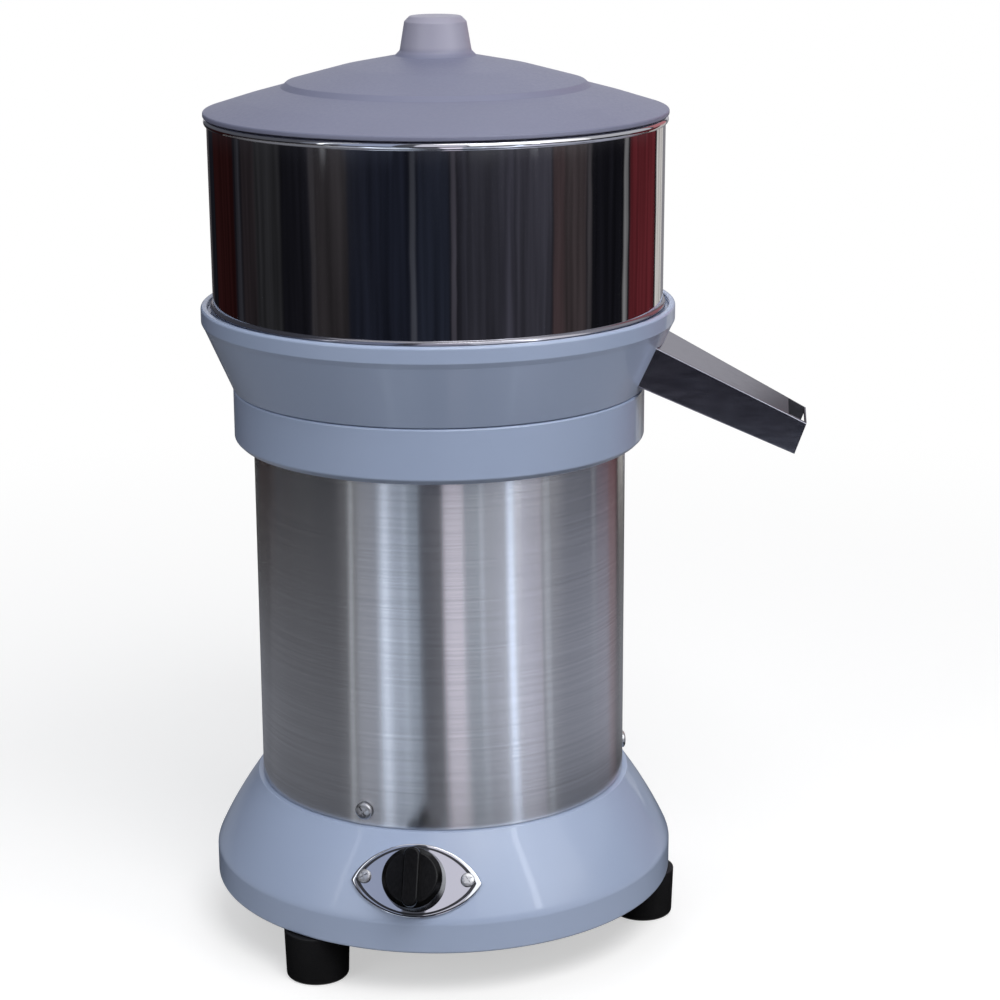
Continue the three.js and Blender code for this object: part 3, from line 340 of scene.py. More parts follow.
isotropic = (1, 1, 1)
finishes = {
    "paint": newMaterial(
        "greyBluePaint", color=(0.368, 0.45, 0.633), rough=(0.30, 0.38), mottle=(9, 0.05),
        grain=(260, isotropic, 0.05, 0.0004), shader={"Coat Weight": 0.5, "Coat Roughness": 0.06}),
    "lidPlastic": newMaterial(
        "lilacLidPlastic", color=(0.188, 0.199, 0.294), rough=(0.40, 0.50), mottle=(14, 0.05),
        grain=(700, isotropic, 0.06, 0.0003)),
    "polished": newMaterial(
        "polishedSteel", color=(0.66, 0.66, 0.68), metallic=1, rough=(0.03, 0.08), mottle=(20, 0.04),
        grain=(22, (1, 1, 0.4), 0.2, 0.0012)),
    # painted shade: a darker copy of the polished steel for the bowl's low bead, standing in for the shade
    # and dull reflection it has down in the tray's lip
    "beadPaintedShade": newMaterial(
        "beadSteelPaintedShade", color=(0.30, 0.295, 0.33), metallic=1, rough=(0.10, 0.18), mottle=(20, 0.05),
        grain=(22, (1, 1, 0.4), 0.2, 0.0012)),
    "spoutSteel": newMaterial(
        "spoutSteel", color=(0.27, 0.27, 0.31), metallic=1, rough=(0.13, 0.18), mottle=(25, 0.08),
        grain=(500, (0.2, 1, 1), 0.04, 0.0002)),
    # painted shade: a dark finish for the inside of the spout's duct, standing in for the shade in it
    "spoutInsidePaintedShade": newMaterial(
        "ductInsidePaintedShade", color=(0.10, 0.10, 0.115), metallic=0.8, rough=(0.4, 0.55), mottle=(40, 0.2),
        grain=(500, isotropic, 0.08, 0.0002)),
    "steel": newMaterial(
        "plainSteel", color=(0.55, 0.55, 0.56), metallic=1, rough=(0.25, 0.4), mottle=(40, 0.08),
        grain=(900, isotropic, 0.05, 0.0002)),
    "zinc": newMaterial(
        "zincPlate", color=(0.55, 0.57, 0.6), metallic=1, rough=(0.38, 0.52), mottle=(60, 0.15),
        grain=(800, isotropic, 0.06, 0.0002)),
    "castAluminium": newMaterial(
        "castAluminium", color=(0.5, 0.51, 0.52), metallic=0.9, rough=(0.5, 0.65), mottle=(50, 0.15),
        grain=(1200, isotropic, 0.3, 0.0004)),
    "coreIron": newMaterial(
        "stackedCoreIron", color=(0.14, 0.145, 0.16), metallic=0.7, rough=(0.45, 0.65), mottle=(40, 0.2),
        grain=(900, (0.05, 0.05, 2), 0.4, 0.0004)),
    "copper": newMaterial(
        "varnishedCopperWire", color=(0.42, 0.13, 0.045), metallic=0.7, rough=(0.25, 0.45), mottle=(60, 0.25),
        grain=(700, (0.3, 0.3, 2), 0.5, 0.0006)),
    "reamerPlastic": newMaterial(
        "reamerPlastic", color=(0.72, 0.71, 0.66), rough=(0.3, 0.4), mottle=(30, 0.05),
        grain=(500, isotropic, 0.05, 0.0003), shader={"Subsurface Weight": 0.1}),
    "rubber": newMaterial(
        "footRubber", color=(0.005, 0.005, 0.006), rough=(0.5, 0.68), mottle=(60, 0.3),
        grain=(1500, isotropic, 0.25, 0.0004), shader={"Specular IOR Level": 0.3}),
    "blackPlastic": newMaterial(
        "blackPlastic", color=(0.004, 0.004, 0.0045), rough=(0.14, 0.24), mottle=(60, 0.2),
        grain=(900, isotropic, 0.05, 0.0002), shader={"Specular IOR Level": 0.2}),
    "markPaint": newMaterial(
        "darkLinePaint", color=(0.012, 0.013, 0.02), rough=(0.35, 0.5), mottle=(60, 0.2),
        grain=(900, isotropic, 0.05, 0.0002)),
    "capacitorCan": newMaterial(
        "capacitorPlastic", color=(0.75, 0.74, 0.7), rough=(0.35, 0.5), mottle=(30, 0.08),
        grain=(600, isotropic, 0.05, 0.0002)),
}


def makeBrushedCasing():
    # steel sheet brushed around the tube: fine level lines, and light drawn out up and down
    values = {
        "color": (0.66, 0.665, 0.68), "mottle": (6, 0.05), "rough": (0.20, 0.225),
        "lines": (120, (0.06, 0.06, 9)), "fineLines": (165, (0.10, 0.10, 8)), "fineShade": (0.87, 1.02),
        "bump": (0.05, 0.0002), "anisotropy": 1.0, "turn": 0.25,
    }
    material = newMaterial(
        "brushedCasingSteel", color=values["color"], metallic=1, mottle=values["mottle"],
        rough=values["rough"], grain=(*values["lines"], *values["bump"]),
        shader={"Anisotropic": values["anisotropy"], "Anisotropic Rotation": values["turn"]})
    tree = material.node_tree
    around = addNode(tree, "Tangent", direction_type="RADIAL", axis="Z")
    feed(tree, tree.nodes["Principled BSDF"], {"Tangent": around.outputs["Tangent"]})
    fine = addGrain(tree, *values["fineLines"], *values["fineShade"])
    recolor(material, lambda tree, source: tinted(tree, source, fine["Value"]))
    return material


def paintLightOnLidKnob(material):
    # painted light: the lid's hollow knob is coloured paler than the rest, standing in for the light that
    # falls on it
    values = {"from": 0.3768, "to": 0.381, "color": (0.325, 0.32, 0.41)}

    def change(tree, source):
        place = addNode(tree, "TexCoord").outputs["Object"]
        height = addNode(tree, "SeparateXYZ", {0: place}).outputs["Z"]
        share = smoothShare(tree, height, values["from"], values["to"])
        tone = addNode(tree, "Mix", {"Factor": share, "A": source, "B": (*values["color"], 1)},
                       data_type="RGBA")
        return tone.outputs["Result"]

    recolor(material, change)


# painted light on the lid's knob
paintLightOnLidKnob(finishes["lidPlastic"])
finishes["brushed"] = makeBrushedCasing()
print("finishes ready:", len(finishes))


# Feet

footSizes = {
    "corners": [(2.7, 21.2), (13.8, 21.2, 0.5), (13.1, 0.0, 1.6), (6.2, 0.0, 0.8), (6.2, 16.2), (2.7, 16.2)],
    "circle": 88.5, "angles": (90, 210, 330),
}
for i, angle in enumerate(footSizes["angles"]):
    place = turnedBy(angle) @ Matrix.Translation((0, -footSizes["circle"], 0))
    foot = revolve(f"foot{i + 1}", roundedOutline(footSizes["corners"]), 72, place=place)
    finishPiece(foot, "stand", ["rubber"], [f"foot_{i + 1}"])
print("feet made")


# Base ring

baseSizes = {
    "foot": [(96, 21.5), (100, 21.5, 1.2)],
    "cone": [(100, 35.1), (93.15, 50.35), (82.3, 65.6)],
    "coneSteps": 28, "creaseRound": 1.2, "creaseGap": 0.01, "creaseSteps": 6,
    "top": [(81.3, 67.2, 0.4), (77.6, 67.2), (77.6, 81.2, 0.6), (74.6, 81.2, 0.6), (74.6, 65.2),
            (64.6, 65.2, 0.5), (64.6, 61.2, 0.5), (75.6, 61.2)],
    "inside": [(88.7, 48.3), (96, 34.3)],
    "switchHole": (5.8, -8, 6), "glandHole": (6.3, -9, 6),
}
coneCurve = bezier(baseSizes["cone"], baseSizes["coneSteps"])


def coneRadius(height):
    for low, high in zip(coneCurve, coneCurve[1:]):
        if low[1] <= height <= high[1]:
            return low[0] + (high[0] - low[0]) * (height - low[1]) / (high[1] - low[1])
    return coneCurve[0][0] if height < coneCurve[0][1] else coneCurve[-1][0]


def baseOutline():
    # the crease between band and cone is rounded by a short curve from one to the other
    radius, height = baseSizes["cone"][0]
    start = height - baseSizes["creaseRound"]
    after = [p for p in coneCurve if p[1] > height + baseSizes["creaseRound"]]
    crease = bezier([(radius, start), (radius, height), after[0]], baseSizes["creaseSteps"])
    return roundedOutline([*baseSizes["foot"], (radius, start - baseSizes["creaseGap"]), *crease,
                           *after[1:-1], *baseSizes["top"], *baseSizes["inside"]])


conePlaces = {"tilt": 59.87, "switch": (0, 92.15, 50.35), "gland": (180, 96.46, 43.0)}
ontoCone = facingOut(*conePlaces["switch"], conePlaces["tilt"])
ontoBack = facingOut(*conePlaces["gland"], conePlaces["tilt"])


def rodTool(radius, low, high, place):
    return revolve("tool", [(0, low), (radius, low), (radius, high), (0, high)], 48, place=place)


base = revolve("baseRing", baseOutline())
shaped(base, [rodTool(*baseSizes["switchHole"], ontoCone), rodTool(*baseSizes["glandHole"], ontoBack)])
finishPiece(base, "stand", ["paint"], ["base_ring"])
print("base ring made")


# Casing and its screws

casingSizes = {"inner": 77.9, "outer": 79.1, "low": 67.5, "high": 231.2, "rings": 10}
casingFoot, casingTop = [Vector((casingSizes["outer"], casingSizes[end])) for end in ("low", "high")]
casingLine = [casingFoot.lerp(casingTop, i / casingSizes["rings"]) for i in range(casingSizes["rings"] + 1)]
casingLine += [Vector((casingSizes["inner"], casingSizes[end])) for end in ("high", "low")]
casing = revolve("motorCasing", casingLine, 256)
finishPiece(casing, "stand", ["brushed"], ["casing"])

screwSizes = {
    "pan": {"head": 3.7, "rise": 2.1, "shank": 2.0, "length": 5.4, "cross": 2.5},
    "plate": {"head": 2.9, "rise": 1.3, "shank": 1.4, "length": 5.5, "cross": 1.9},
    "shoulder": 0.45, "crown": (0.98, 1.02), "point": 0.7, "taper": 0.8, "bladeWall": 0.3,
    "bladeHeight": 0.95, "bladeTurns": (35, 125),
}


def makeScrew(name, kind, place):
    # pan head with a cross recess, seat at height 0
    head, rise, shank, length, reach = screwSizes[kind].values()
    out, up = screwSizes["crown"]
    dome = bezier([(head, rise * screwSizes["shoulder"]), (head * out, rise), (0, rise * up)], 9)
    outline = [(0, -length), (shank * screwSizes["point"], -length),
               (shank, screwSizes["taper"] - length), (shank, 0), (head, 0)]
    outline = [Vector(p) for p in outline] + dome
    outline[-1].x = 0
    screw = revolve(name, outline, 48)
    blade = (2 * reach, reach * screwSizes["bladeWall"], rise)
    shaped(screw, [boxPiece("tool", blade, (0, 0, rise * screwSizes["bladeHeight"]), turnedBy(turn))
                   for turn in screwSizes["bladeTurns"]])
    screw.data.transform(place)
    return screw


casingScrews = {"angles": (-17, 103, 223), "height": 73.9, "seat": 79.4}
for i, angle in enumerate(casingScrews["angles"]):
    place = facingOut(angle, casingScrews["seat"], casingScrews["height"])
    screw = makeScrew(f"casingScrew{i + 1}", "pan", place)
    finishPiece(screw, "stand", ["steel"], [f"casing_screw_{i + 1}"])
print("casing made")


# Collar

collarSizes = {
    "corners": [(79.4, 216.1, 0.4), (84.9, 216.1, 1.6), (87.1, 218.3, 1.6), (87.1, 239.2, 1.0),
                (18, 239.2), (18, 262.2, 1.0), (9.3, 262.2, 0.6), (9.3, 234.2), (74.6, 234.2),
                (74.6, 220.2, 0.5), (77.6, 220.2, 0.5), (77.6, 231.5), (79.4, 231.5)],
}
collar = revolve("topCollar", roundedOutline(collarSizes["corners"]))
finishPiece(collar, "stand", ["paint"], ["top_collar"])
print("collar made")


# Juice tray and spout

traySizes = {
    "corners": [(80.5, 239.5), (87.1, 239.5, 0.8), (98.4, 265.6, 2.4), (99.6, 267.9, 1.0),
                (99.6, 274.5, 1.2), (96.8, 274.5, 0.7), (96.8, 272.3, 0.4), (92.5, 272.3, 0.7),
                (92.5, 266.4, 0.5), (90.1, 266.4, 0.8), (83.5, 248.0, 1.4), (82, 246.5, 1.4),
                (21.3, 246.5, 2.5), (20.3, 279.5, 0.8), (18.3, 279.5, 0.5), (18.3, 239.5),
                (21.3, 239.5), (21.3, 243.5), (80.5, 243.5)],
}
spoutSizes = {
    "rootX": 87.1, "tipX": 155.2, "rootFloor": 243.2, "slope": 24.3, "lean": 17.0,
    "rootHeight": 20.0, "tipHeight": 15.6, "rootWidth": 48.0, "tipWidth": 31.0, "wall": 1.6,
    "notchX": 147.7, "notchLift": 20, "startX": 62.0, "outX": 99.6, "beyond": 2.0, "gap": 0.3,
    "corner": 0.5, "insideCorner": 0.9, "edge": 0.25, "skin": 0.4, "rows": 14,
    "flange": 3.0, "flangeCorner": 2.5, "flangeWall": 1.5, "flangeLow": 1.2, "flangeHigh": 0.88,
    "innerWall": [(84.9, 248.0), (90.1, 266.4)], "toolLow": 200, "toolHigh": 300,
}
spoutMouthX = spoutSizes["tipX"] - spoutSizes["tipHeight"] * math.tan(math.radians(spoutSizes["lean"]))
spoutRun = spoutMouthX - spoutSizes["rootX"]
spoutFall = math.tan(math.radians(spoutSizes["slope"]))


def spoutHalf(x):
    share = (x - spoutSizes["rootX"]) / spoutRun
    return (spoutSizes["rootWidth"] + (spoutSizes["tipWidth"] - spoutSizes["rootWidth"]) * share) / 2


def spoutFloor(x):
    return spoutSizes["rootFloor"] - (x - spoutSizes["rootX"]) * spoutFall


def spoutTop(x):
    share = (x - spoutSizes["rootX"]) / spoutRun
    height = spoutSizes["rootHeight"] + (spoutSizes["tipHeight"] - spoutSizes["rootHeight"]) * share
    return spoutFloor(x) + height


def ductSection(lowX, highX, inset, corner, lift=0):
    # a rectangle with rounded corners across the duct, leaning from lowX at the floor to highX
    floor, top = spoutFloor(lowX) + inset, spoutTop(highX) - inset + lift
    height = top - floor
    wide = spoutHalf(lowX) - inset
    section = []
    for across, up in roundedBox(wide, 0, height, corner, 4):
        share = up / height
        x = lowX + (highX - lowX) * share
        section.append((x, across * (spoutHalf(x) - inset) / wide, floor + height * share))
    return section


def duct(name, start, end, inset, corner, lift=0):
    rows = spoutSizes["rows"]
    sections = []
    for i in range(rows + 1):
        lowX = start[0] + (end[0] - start[0]) * i / rows
        highX = start[1] + (end[1] - start[1]) * i / rows
        sections.append(ductSection(lowX, highX, inset, corner, lift))
    return loft(name, sections)


startEnds = (spoutSizes["startX"],) * 2
mouthEnds = (spoutMouthX, spoutSizes["tipX"])
outX, beyond, corner = spoutSizes["outX"], spoutSizes["beyond"], spoutSizes["corner"]
tray = revolve("juiceTray", roundedOutline(traySizes["corners"]))
shaped(tray, [duct("tool", startEnds, (outX + beyond,) * 2, -spoutSizes["gap"], corner)])
finishPiece(tray, "tray", ["paint"], ["juice_tray"])

spout = duct("juiceSpout", startEnds, mouthEnds, 0, corner)
wallLow, wallHigh = [Vector(p) for p in spoutSizes["innerWall"]]
wallTurn = (wallHigh - wallLow).normalized()
wallOut = Vector((wallTurn.y, -wallTurn.x))


def insideWall(gap):
    # the tray's inner wall moved inwards by a gap, from below its floor to above its seat
    low = wallLow - wallOut * gap - wallTurn * spoutSizes["flangeLow"]
    high = wallLow.lerp(wallHigh, spoutSizes["flangeHigh"]) - wallOut * gap
    return low, high


lowFace, highFace = insideWall(spoutSizes["gap"] + spoutSizes["flangeWall"])
lowBack, highBack = insideWall(spoutSizes["gap"])
toolLow, toolHigh = spoutSizes["toolLow"], spoutSizes["toolHigh"]
inside = revolve("tool", [Vector((0, toolLow)), Vector((lowFace.x, toolLow)), lowFace, highFace,
                          Vector((highFace.x, toolHigh)), Vector((0, toolHigh))])
shaped(spout, [inside])
flange = revolve("tool", [lowBack, highBack, highFace, lowFace])
blank = duct("tool", startEnds, (outX, outX), -spoutSizes["flange"], spoutSizes["flangeCorner"])
shaped(flange, [blank], "INTERSECT")
shaped(spout, [flange], "UNION")
toolEnds = [x + beyond for x in mouthEnds]
wall, insideCorner = spoutSizes["wall"], spoutSizes["insideCorner"]
hollow = duct("tool", (spoutSizes["startX"] - beyond,) * 2, toolEnds, wall, insideCorner)
notch = duct("tool", (spoutSizes["notchX"],) * 2, toolEnds, wall, insideCorner, spoutSizes["notchLift"])
shaped(spout, [hollow, notch])
beveled(spout, spoutSizes["edge"], segments=2, angle=50)


def insideDuct(point):
    skin = spoutSizes["skin"]
    return (abs(point.y) < spoutHalf(point.x) - skin
            and spoutFloor(point.x) + skin < point.z < spoutTop(point.x) - skin)


# painted shade: faces inside the duct take the dark finish
ductShadeFaces = [int(insideDuct(face.center)) for face in spout.data.polygons]
finishPiece(spout, "tray", ["spoutSteel", "spoutInsidePaintedShade"], ["spout"],
            faceMaterials=ductShadeFaces)
print("tray and spout made")


# Strainer

strainerSizes = {
    "corners": [(40.5, 266.7), (91.9, 266.7, 1.2), (91.9, 271.7, 0.5), (90.3, 271.7, 0.5),
                (90.3, 268.3, 1.0), (42.1, 268.3, 1.0), (42.1, 275.7, 0.6), (40.5, 275.7, 0.6)],
    "slotWidth": 2.4, "slotLength": 17, "slotRound": 0.98, "slotCut": (264, 270), "slotsInRow": 24,
    "reaches": (54.1, 78.1),
}
strainer = revolve("strainer", roundedOutline(strainerSizes["corners"]))
wide, long = strainerSizes["slotWidth"] / 2, strainerSizes["slotLength"] / 2
slotOutline = roundedBox(wide, -long, long, wide * strainerSizes["slotRound"], 4)
slots = []
for row, reach in enumerate(strainerSizes["reaches"]):
    for i in range(strainerSizes["slotsInRow"]):
        angle = (i + row / 2) * 360 / strainerSizes["slotsInRow"]
        levels = [[(x, y - reach, z) for x, y in slotOutline] for z in strainerSizes["slotCut"]]
        slots.append(loft("tool", levels, turnedBy(angle)))
shaped(strainer, [joined("slots", slots)])
finishPiece(strainer, "strainer", ["steel"], ["strainer"])
print("strainer made")


# Splash bowl

bowlSizes = {
    "lowCircle": 93.95, "lowHeight": 274.3, "highCircle": 94.25, "highHeight": 350.8,
    "wall": 0.9, "wallShares": (0.06, 0.5, 0.94), "bead": 1.7, "beadSteps": 18, "neck": 74.8,
}


def beadArc(circle, height, start, end):
    steps, bead = bowlSizes["beadSteps"], bowlSizes["bead"]
    turns = [math.radians(start + (end - start) * i / steps) for i in range(steps + 1)]
    return [Vector((circle + bead * math.cos(turn), height + bead * math.sin(turn))) for turn in turns]


def bowlWall(shares, side):
    # points up the wall's outside, for side 1, or down its inside
    low = Vector((bowlSizes["lowCircle"], bowlSizes["lowHeight"]))
    high = Vector((bowlSizes["highCircle"], bowlSizes["highHeight"]))
    return [low.lerp(high, share) + Vector((side * bowlSizes["wall"] / 2, 0)) for share in shares]


neck, wallShares = bowlSizes["neck"], bowlSizes["wallShares"]
bowlLine = beadArc(bowlSizes["lowCircle"], bowlSizes["lowHeight"], -180 - neck, neck)
bowlLine += bowlWall(wallShares, 1)
bowlLine += beadArc(bowlSizes["highCircle"], bowlSizes["highHeight"], -neck, 180 + neck)
bowlLine += bowlWall(wallShares[::-1], -1)
bowl = revolve("splashBowl", bowlLine, 256)
lowBeadTop = bowlSizes["lowHeight"] + bowlSizes["bead"]
# painted shade: the low bead's faces take the darker steel
shadedBeadFaces = [int(face.center.z < lowBeadTop) for face in bowl.data.polygons]
finishPiece(bowl, "bowl", ["polished", "beadPaintedShade"], ["bowl_ring"],
            sharpAngle=60, faceMaterials=shadedBeadFaces)
print("bowl made")


# Lid

lidSizes = {
    "top": [(96.2, 352.8, 0.5), (96.2, 354.7, 0.8), (79.8, 359.8, 60), (64.0, 364.1, 1.2),
            (61.5, 366.2, 1.6), (38.6, 372.3, 60), (16.9, 376.4, 1.6), (14.8, 378.5, 2.0),
            (12.8, 390.2, 1.0), (10.6, 392.4, 1.6), (0, 392.9)],
    "under": [(0, 389.9), (10.3, 389.9, 1.0), (12.3, 376.4), (57.5, 363.7), (62.5, 361.6),
              (89.15, 353.75), (89.15, 348.4, 0.5), (91.65, 348.4, 0.8), (91.65, 352.8, 0.3)],
}
lid = revolve("lid", roundedOutline(lidSizes["under"] + lidSizes["top"], 7))
finishPiece(lid, "lid", ["lidPlastic"], ["lid"])
print("lid made")


# Reamer

reamerSizes = {
    "radius": 37.5, "low": 277.0, "high": 345.0, "ribs": 12, "ribDepth": 2.4,
    "shares": [(1, 0), (0.985, 0.06), (0.86, 0.22), (0.69, 0.45), (0.5, 0.67), (0.28, 0.86),
               (0.1, 0.97)],
    "tip": 1.6, "pinSlot": (4.2, 24.3, 12.6), "pinHeight": 292.8,
    "ribStart": (0.04, 0.14), "ribEnd": 0.12, "ribPower": 0.75, "ribLeast": 4,
    "under": [(34.0, 277.0), (28.75, 290.2), (22.4, 303.1), (12, 303.1), (12, 288.7),
              (6.8, 288.7), (6.8, 309.3), (0, 309.3)],
}
reamerRise = reamerSizes["high"] - reamerSizes["low"]


def smoothLine(points, steps):
    # passes through the points with rounded bends between them
    line = []
    for i in range(len(points) - 1):
        before = points[max(i - 1, 0)]
        a, b = points[i], points[i + 1]
        after = points[min(i + 2, len(points) - 1)]
        for step in range(steps):
            t = step / steps
            line.append(a * (1 - t) ** 2 * (1 + 2 * t) + b * t * t * (3 - 2 * t)
                        + (b - before) * 0.5 * t * (1 - t) ** 2 - (after - a) * 0.5 * t * t * (1 - t))
    return line + [points[-1]]


def reamerRib(radius, height, angle):
    share = (height - reamerSizes["low"]) / reamerRise
    start, growth = reamerSizes["ribStart"]
    if share < start or radius < reamerSizes["ribLeast"]:
        return radius
    fade = min(1, (share - start) / growth) * min(1, (1 - share) / reamerSizes["ribEnd"])
    wave = abs(math.cos(angle * reamerSizes["ribs"] / 2))
    crest = 1 - 2 * (1 - wave) ** reamerSizes["ribPower"]
    return radius + reamerSizes["ribDepth"] / 2 * fade * crest


outside = smoothLine([Vector((reamerSizes["radius"] * across, reamerSizes["low"] + reamerRise * up))
                      for across, up in reamerSizes["shares"]], 5)
tip = bezier([outside[-1], (reamerSizes["tip"], reamerSizes["high"]), (0, reamerSizes["high"])], 4)
reamerLine = list(reversed(outside + tip[1:]))
inner = [Vector(p) for p in reamerSizes["under"]]


def ribbedOutside(radius, height, angle):
    onOutside = any(abs(radius - p[0]) < 1e-3 and abs(height - p[1]) < 1e-3 for p in outside)
    return reamerRib(radius, height, angle) if onOutside else radius


reamer = revolve("reamer", reamerLine + inner, 144, ripple=ribbedOutside)
pinSlot = boxPiece("tool", reamerSizes["pinSlot"], (0, 0, reamerSizes["pinHeight"]))
shaped(reamer, [pinSlot])
finishPiece(reamer, "reamer", ["reamerPlastic"], ["reamer"], sharpAngle=50)
print("reamer made")


# Switch plate, its screws and the knob

plateSizes = {
    "half": 27.0, "rise": 15.2, "shares": (0.92, 0.42, 0.5), "hole": 5.8, "around": 28, "tips": 1.9,
    # each ring's inset from the edge and its lift over the cone
    "rings": [(0.3, 0.3), (0, 0.6), (0, 1.05), (0.12, 1.35), (0.45, 1.5), (1.1, 1.5), (1.25, 1.28),
              (1.75, 1.28), (1.9, 1.5), (3.2, 1.5)],
    "grooveRings": range(6, 9), "settleSteps": 20, "screwTurn": 13.2, "screwLift": 1.55,
}


def onConePoint(u, v, lift):
    # a point u across and v up the slope, at a height over the cone's skin
    depth = lift
    for _ in range(plateSizes["settleSteps"]):
        p = ontoCone @ Vector((u, v, depth))
        gap = (math.hypot(p.x, p.y) - coneRadius(p.z)) * math.sin(math.radians(conePlaces["tilt"]))
        depth += lift - gap
    return ontoCone @ Vector((u, v, depth))


def eyeOutline():
    half, rise = plateSizes["half"], plateSizes["rise"]
    tip, side, top = plateSizes["shares"]
    quarter = bezier([(half, 0), (half * tip, rise * side), (half * top, rise), (0, rise)],
                     plateSizes["around"])
    upper = quarter + [Vector((-p[0], p[1])) for p in reversed(quarter[:-1])]
    return upper + [Vector((p[0], -p[1])) for p in reversed(upper[1:-1])]


def makePlate():
    edge = eyeOutline()
    count = len(edge)
    hole = [p.normalized() * plateSizes["hole"] for p in edge]
    rings = []
    for inset, lift in plateSizes["rings"]:
        across, up = 1 - plateSizes["tips"] * inset / plateSizes["half"], 1 - inset / plateSizes["rise"]
        rings.append(([Vector((p.x * across, p.y * up)) for p in edge], lift))
    last, high = rings[-1]
    middle = [a.lerp(b, 0.5) for a, b in zip(last, hole)]
    rings = [(hole, rings[0][1]), *rings, (middle, high), (hole, high)]
    verts = [onConePoint(u, v, lift) for ring, lift in rings for u, v in ring]
    faces, marks = [], []
    for k in range(len(rings)):
        low, high = k * count, (k + 1) % len(rings) * count
        for i in range(count):
            j = (i + 1) % count
            faces.append((low + i, low + j, high + j, high + i))
            marks.append(int(k in plateSizes["grooveRings"]))
    return makePiece("switchPlate", verts, faces), marks


plate, plateFaces = makePlate()
finishPiece(plate, "stand", ["polished", "markPaint"],
            ["switch_plate"], faceMaterials=plateFaces)

for i, turn in enumerate((-plateSizes["screwTurn"], plateSizes["screwTurn"])):
    place = turnedBy(turn) @ ontoCone @ Matrix.Translation((0, 0, plateSizes["screwLift"]))
    screw = makeScrew(f"plateScrew{i + 1}", "plate", place)
    finishPiece(screw, "stand", ["steel"], [f"plate_screw_{i + 1}"])

knobSizes = {
    "body": [(0, 11.4), (3.3, 11.4), (3.3, 8.4), (9.7, 8.4), (9.7, 3.0), (13.0, 3.0, 0.5),
             (12.4, 12.0, 1.6), (10.5, 14.2, 1.2), (0, 14.4)],
    # the bar's half width, half length and rounding, and its levels with how much each shrinks
    "bar": (3.5, 12.1, 3.2), "narrowing": 0.35, "well": (3.3, 7, 11.4),
    "levels": [(9.0, 1.04), (15.7, 0.98), (16.45, 0.93), (16.88, 0.84), (17.0, 0.70)],
}
knob = revolve("switchKnob", roundedOutline(knobSizes["body"]), 96)
wide, long, rounding = knobSizes["bar"]
barOutline = roundedBox(wide, -long, long, rounding, 6)
levels = []
for lift, shrink in knobSizes["levels"]:
    along = 1 - (1 - shrink) * knobSizes["narrowing"]
    levels.append([(x * shrink, y * along, lift) for x, y in barOutline])
bar = loft("tool", levels)
shaped(knob, [bar], "UNION")
shaped(knob, [rodTool(*knobSizes["well"], Matrix.Identity(4))])
knob.data.transform(ontoCone)
finishPiece(knob, "knob", ["blackPlastic"], ["switch_knob"], sharpAngle=40)
print("switch made")


# Cord gland at the back

glandSizes = {
    "corners": [(3.8, 12.0, 0.4), (6.4, 12.0, 1.0), (8.7, 6.3, 0.8), (9.0, 6.0), (9.0, 0.6, 0.3),
                (6.0, 0.6), (6.0, -11.5, 0.4), (3.8, -11.5, 0.4)],
    "flutes": 18, "fluteDepth": 0.35, "fluted": (0.9, 6.5, 8.4), "fluteEnds": (0.08, 0.92),
}


def glandFlutes(radius, height, angle):
    low, high, least = glandSizes["fluted"]
    if not low < height < high or radius < least:
        return radius
    return radius - glandSizes["fluteDepth"] * (0.5 + 0.5 * math.cos(angle * glandSizes["flutes"])) ** 2


glandCorners = roundedOutline(glandSizes["corners"])
glandLine = []
for a, b in zip(glandCorners, glandCorners[1:] + glandCorners[:1]):
    glandLine.append(a)
    if abs(a.x - b.x) < 0.1 and abs(a.y - b.y) > 3 and a.x > glandSizes["fluted"][2]:
        # the long upright outside, where the flutes run out at both ends
        glandLine += [a.lerp(b, share) for share in glandSizes["fluteEnds"]]
gland = revolve("cordGland", glandLine, 144, ripple=glandFlutes, place=ontoBack)
finishPiece(gland, "stand", ["blackPlastic"], ["cord_gland"])
print("gland made")


# CAD nodes that stay, with their finishes

keptFinishes = {
    "zinc": ["bottom_plate", "foot_screw", "tie_rod", "tie_nut", "motor_screw", "through_bolt",
             "switch_nut", "capacitor_clamp"],
    "castAluminium": ["motor_upper_shield", "motor_lower_shield"],
    "coreIron": ["stator_core", "rotor_core"],
    "copper": ["upper_end_winding", "lower_end_winding"],
    "steel": ["upper_bearing", "lower_bearing", "motor_shaft", "drive_pin", "switch_spindle"],
    "rubber": ["shaft_seal"],
    "blackPlastic": ["switch_body", "gland_nut", "terminal_block", "cooling_fan"],
    "capacitorCan": ["run_capacitor"],
}
for finish, kinds in keptFinishes.items():
    for name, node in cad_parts.items():
        if name.rstrip("_0123456789") in kinds:
            node.data.materials.clear()
            node.data.materials.append(finishes[finish])
print("inner parts dressed")


# Floor, cards that only gloss sees, lamps and world

stageSizes = {
    "floor": 12.0,
    "bounceNear": (0.62, 0.58, 0.52), "bounceFar": (0.06, 0.055, 0.05), "bounceFade": (0.13, 0.29),
    "floorSeen": (0.62, 0.62, 0.622), "lift": 0.50,
    "fade": (0.32, 0.95),
}


def stagePiece(name, verts, faces, material):
    mesh = bpy.data.meshes.new(name)
    mesh.from_pydata(verts, [], faces)
    mesh.materials.append(material)
    piece = newObject(name, mesh)
    return piece


def bareMaterial(name):
    material = bpy.data.materials.new(name)
    material.use_nodes = True
    material.node_tree.nodes.remove(material.node_tree.nodes["Principled BSDF"])
    return material, material.node_tree


def mixed(tree, share, first, second):
    return addNode(tree, "MixShader", {"Fac": share, 1: first.outputs[0], 2: second.outputs[0]})


def seenRays(tree):
    # 1 for the rays that show the stage: camera, gloss and glass
    path = addNode(tree, "LightPath").outputs
    share = path["Is Camera Ray"]
    for ray in ("Is Glossy Ray", "Is Transmission Ray"):
        share = addNode(tree, "Math", {0: share, 1: path[ray]}, operation="MAXIMUM").outputs[0]
    return share


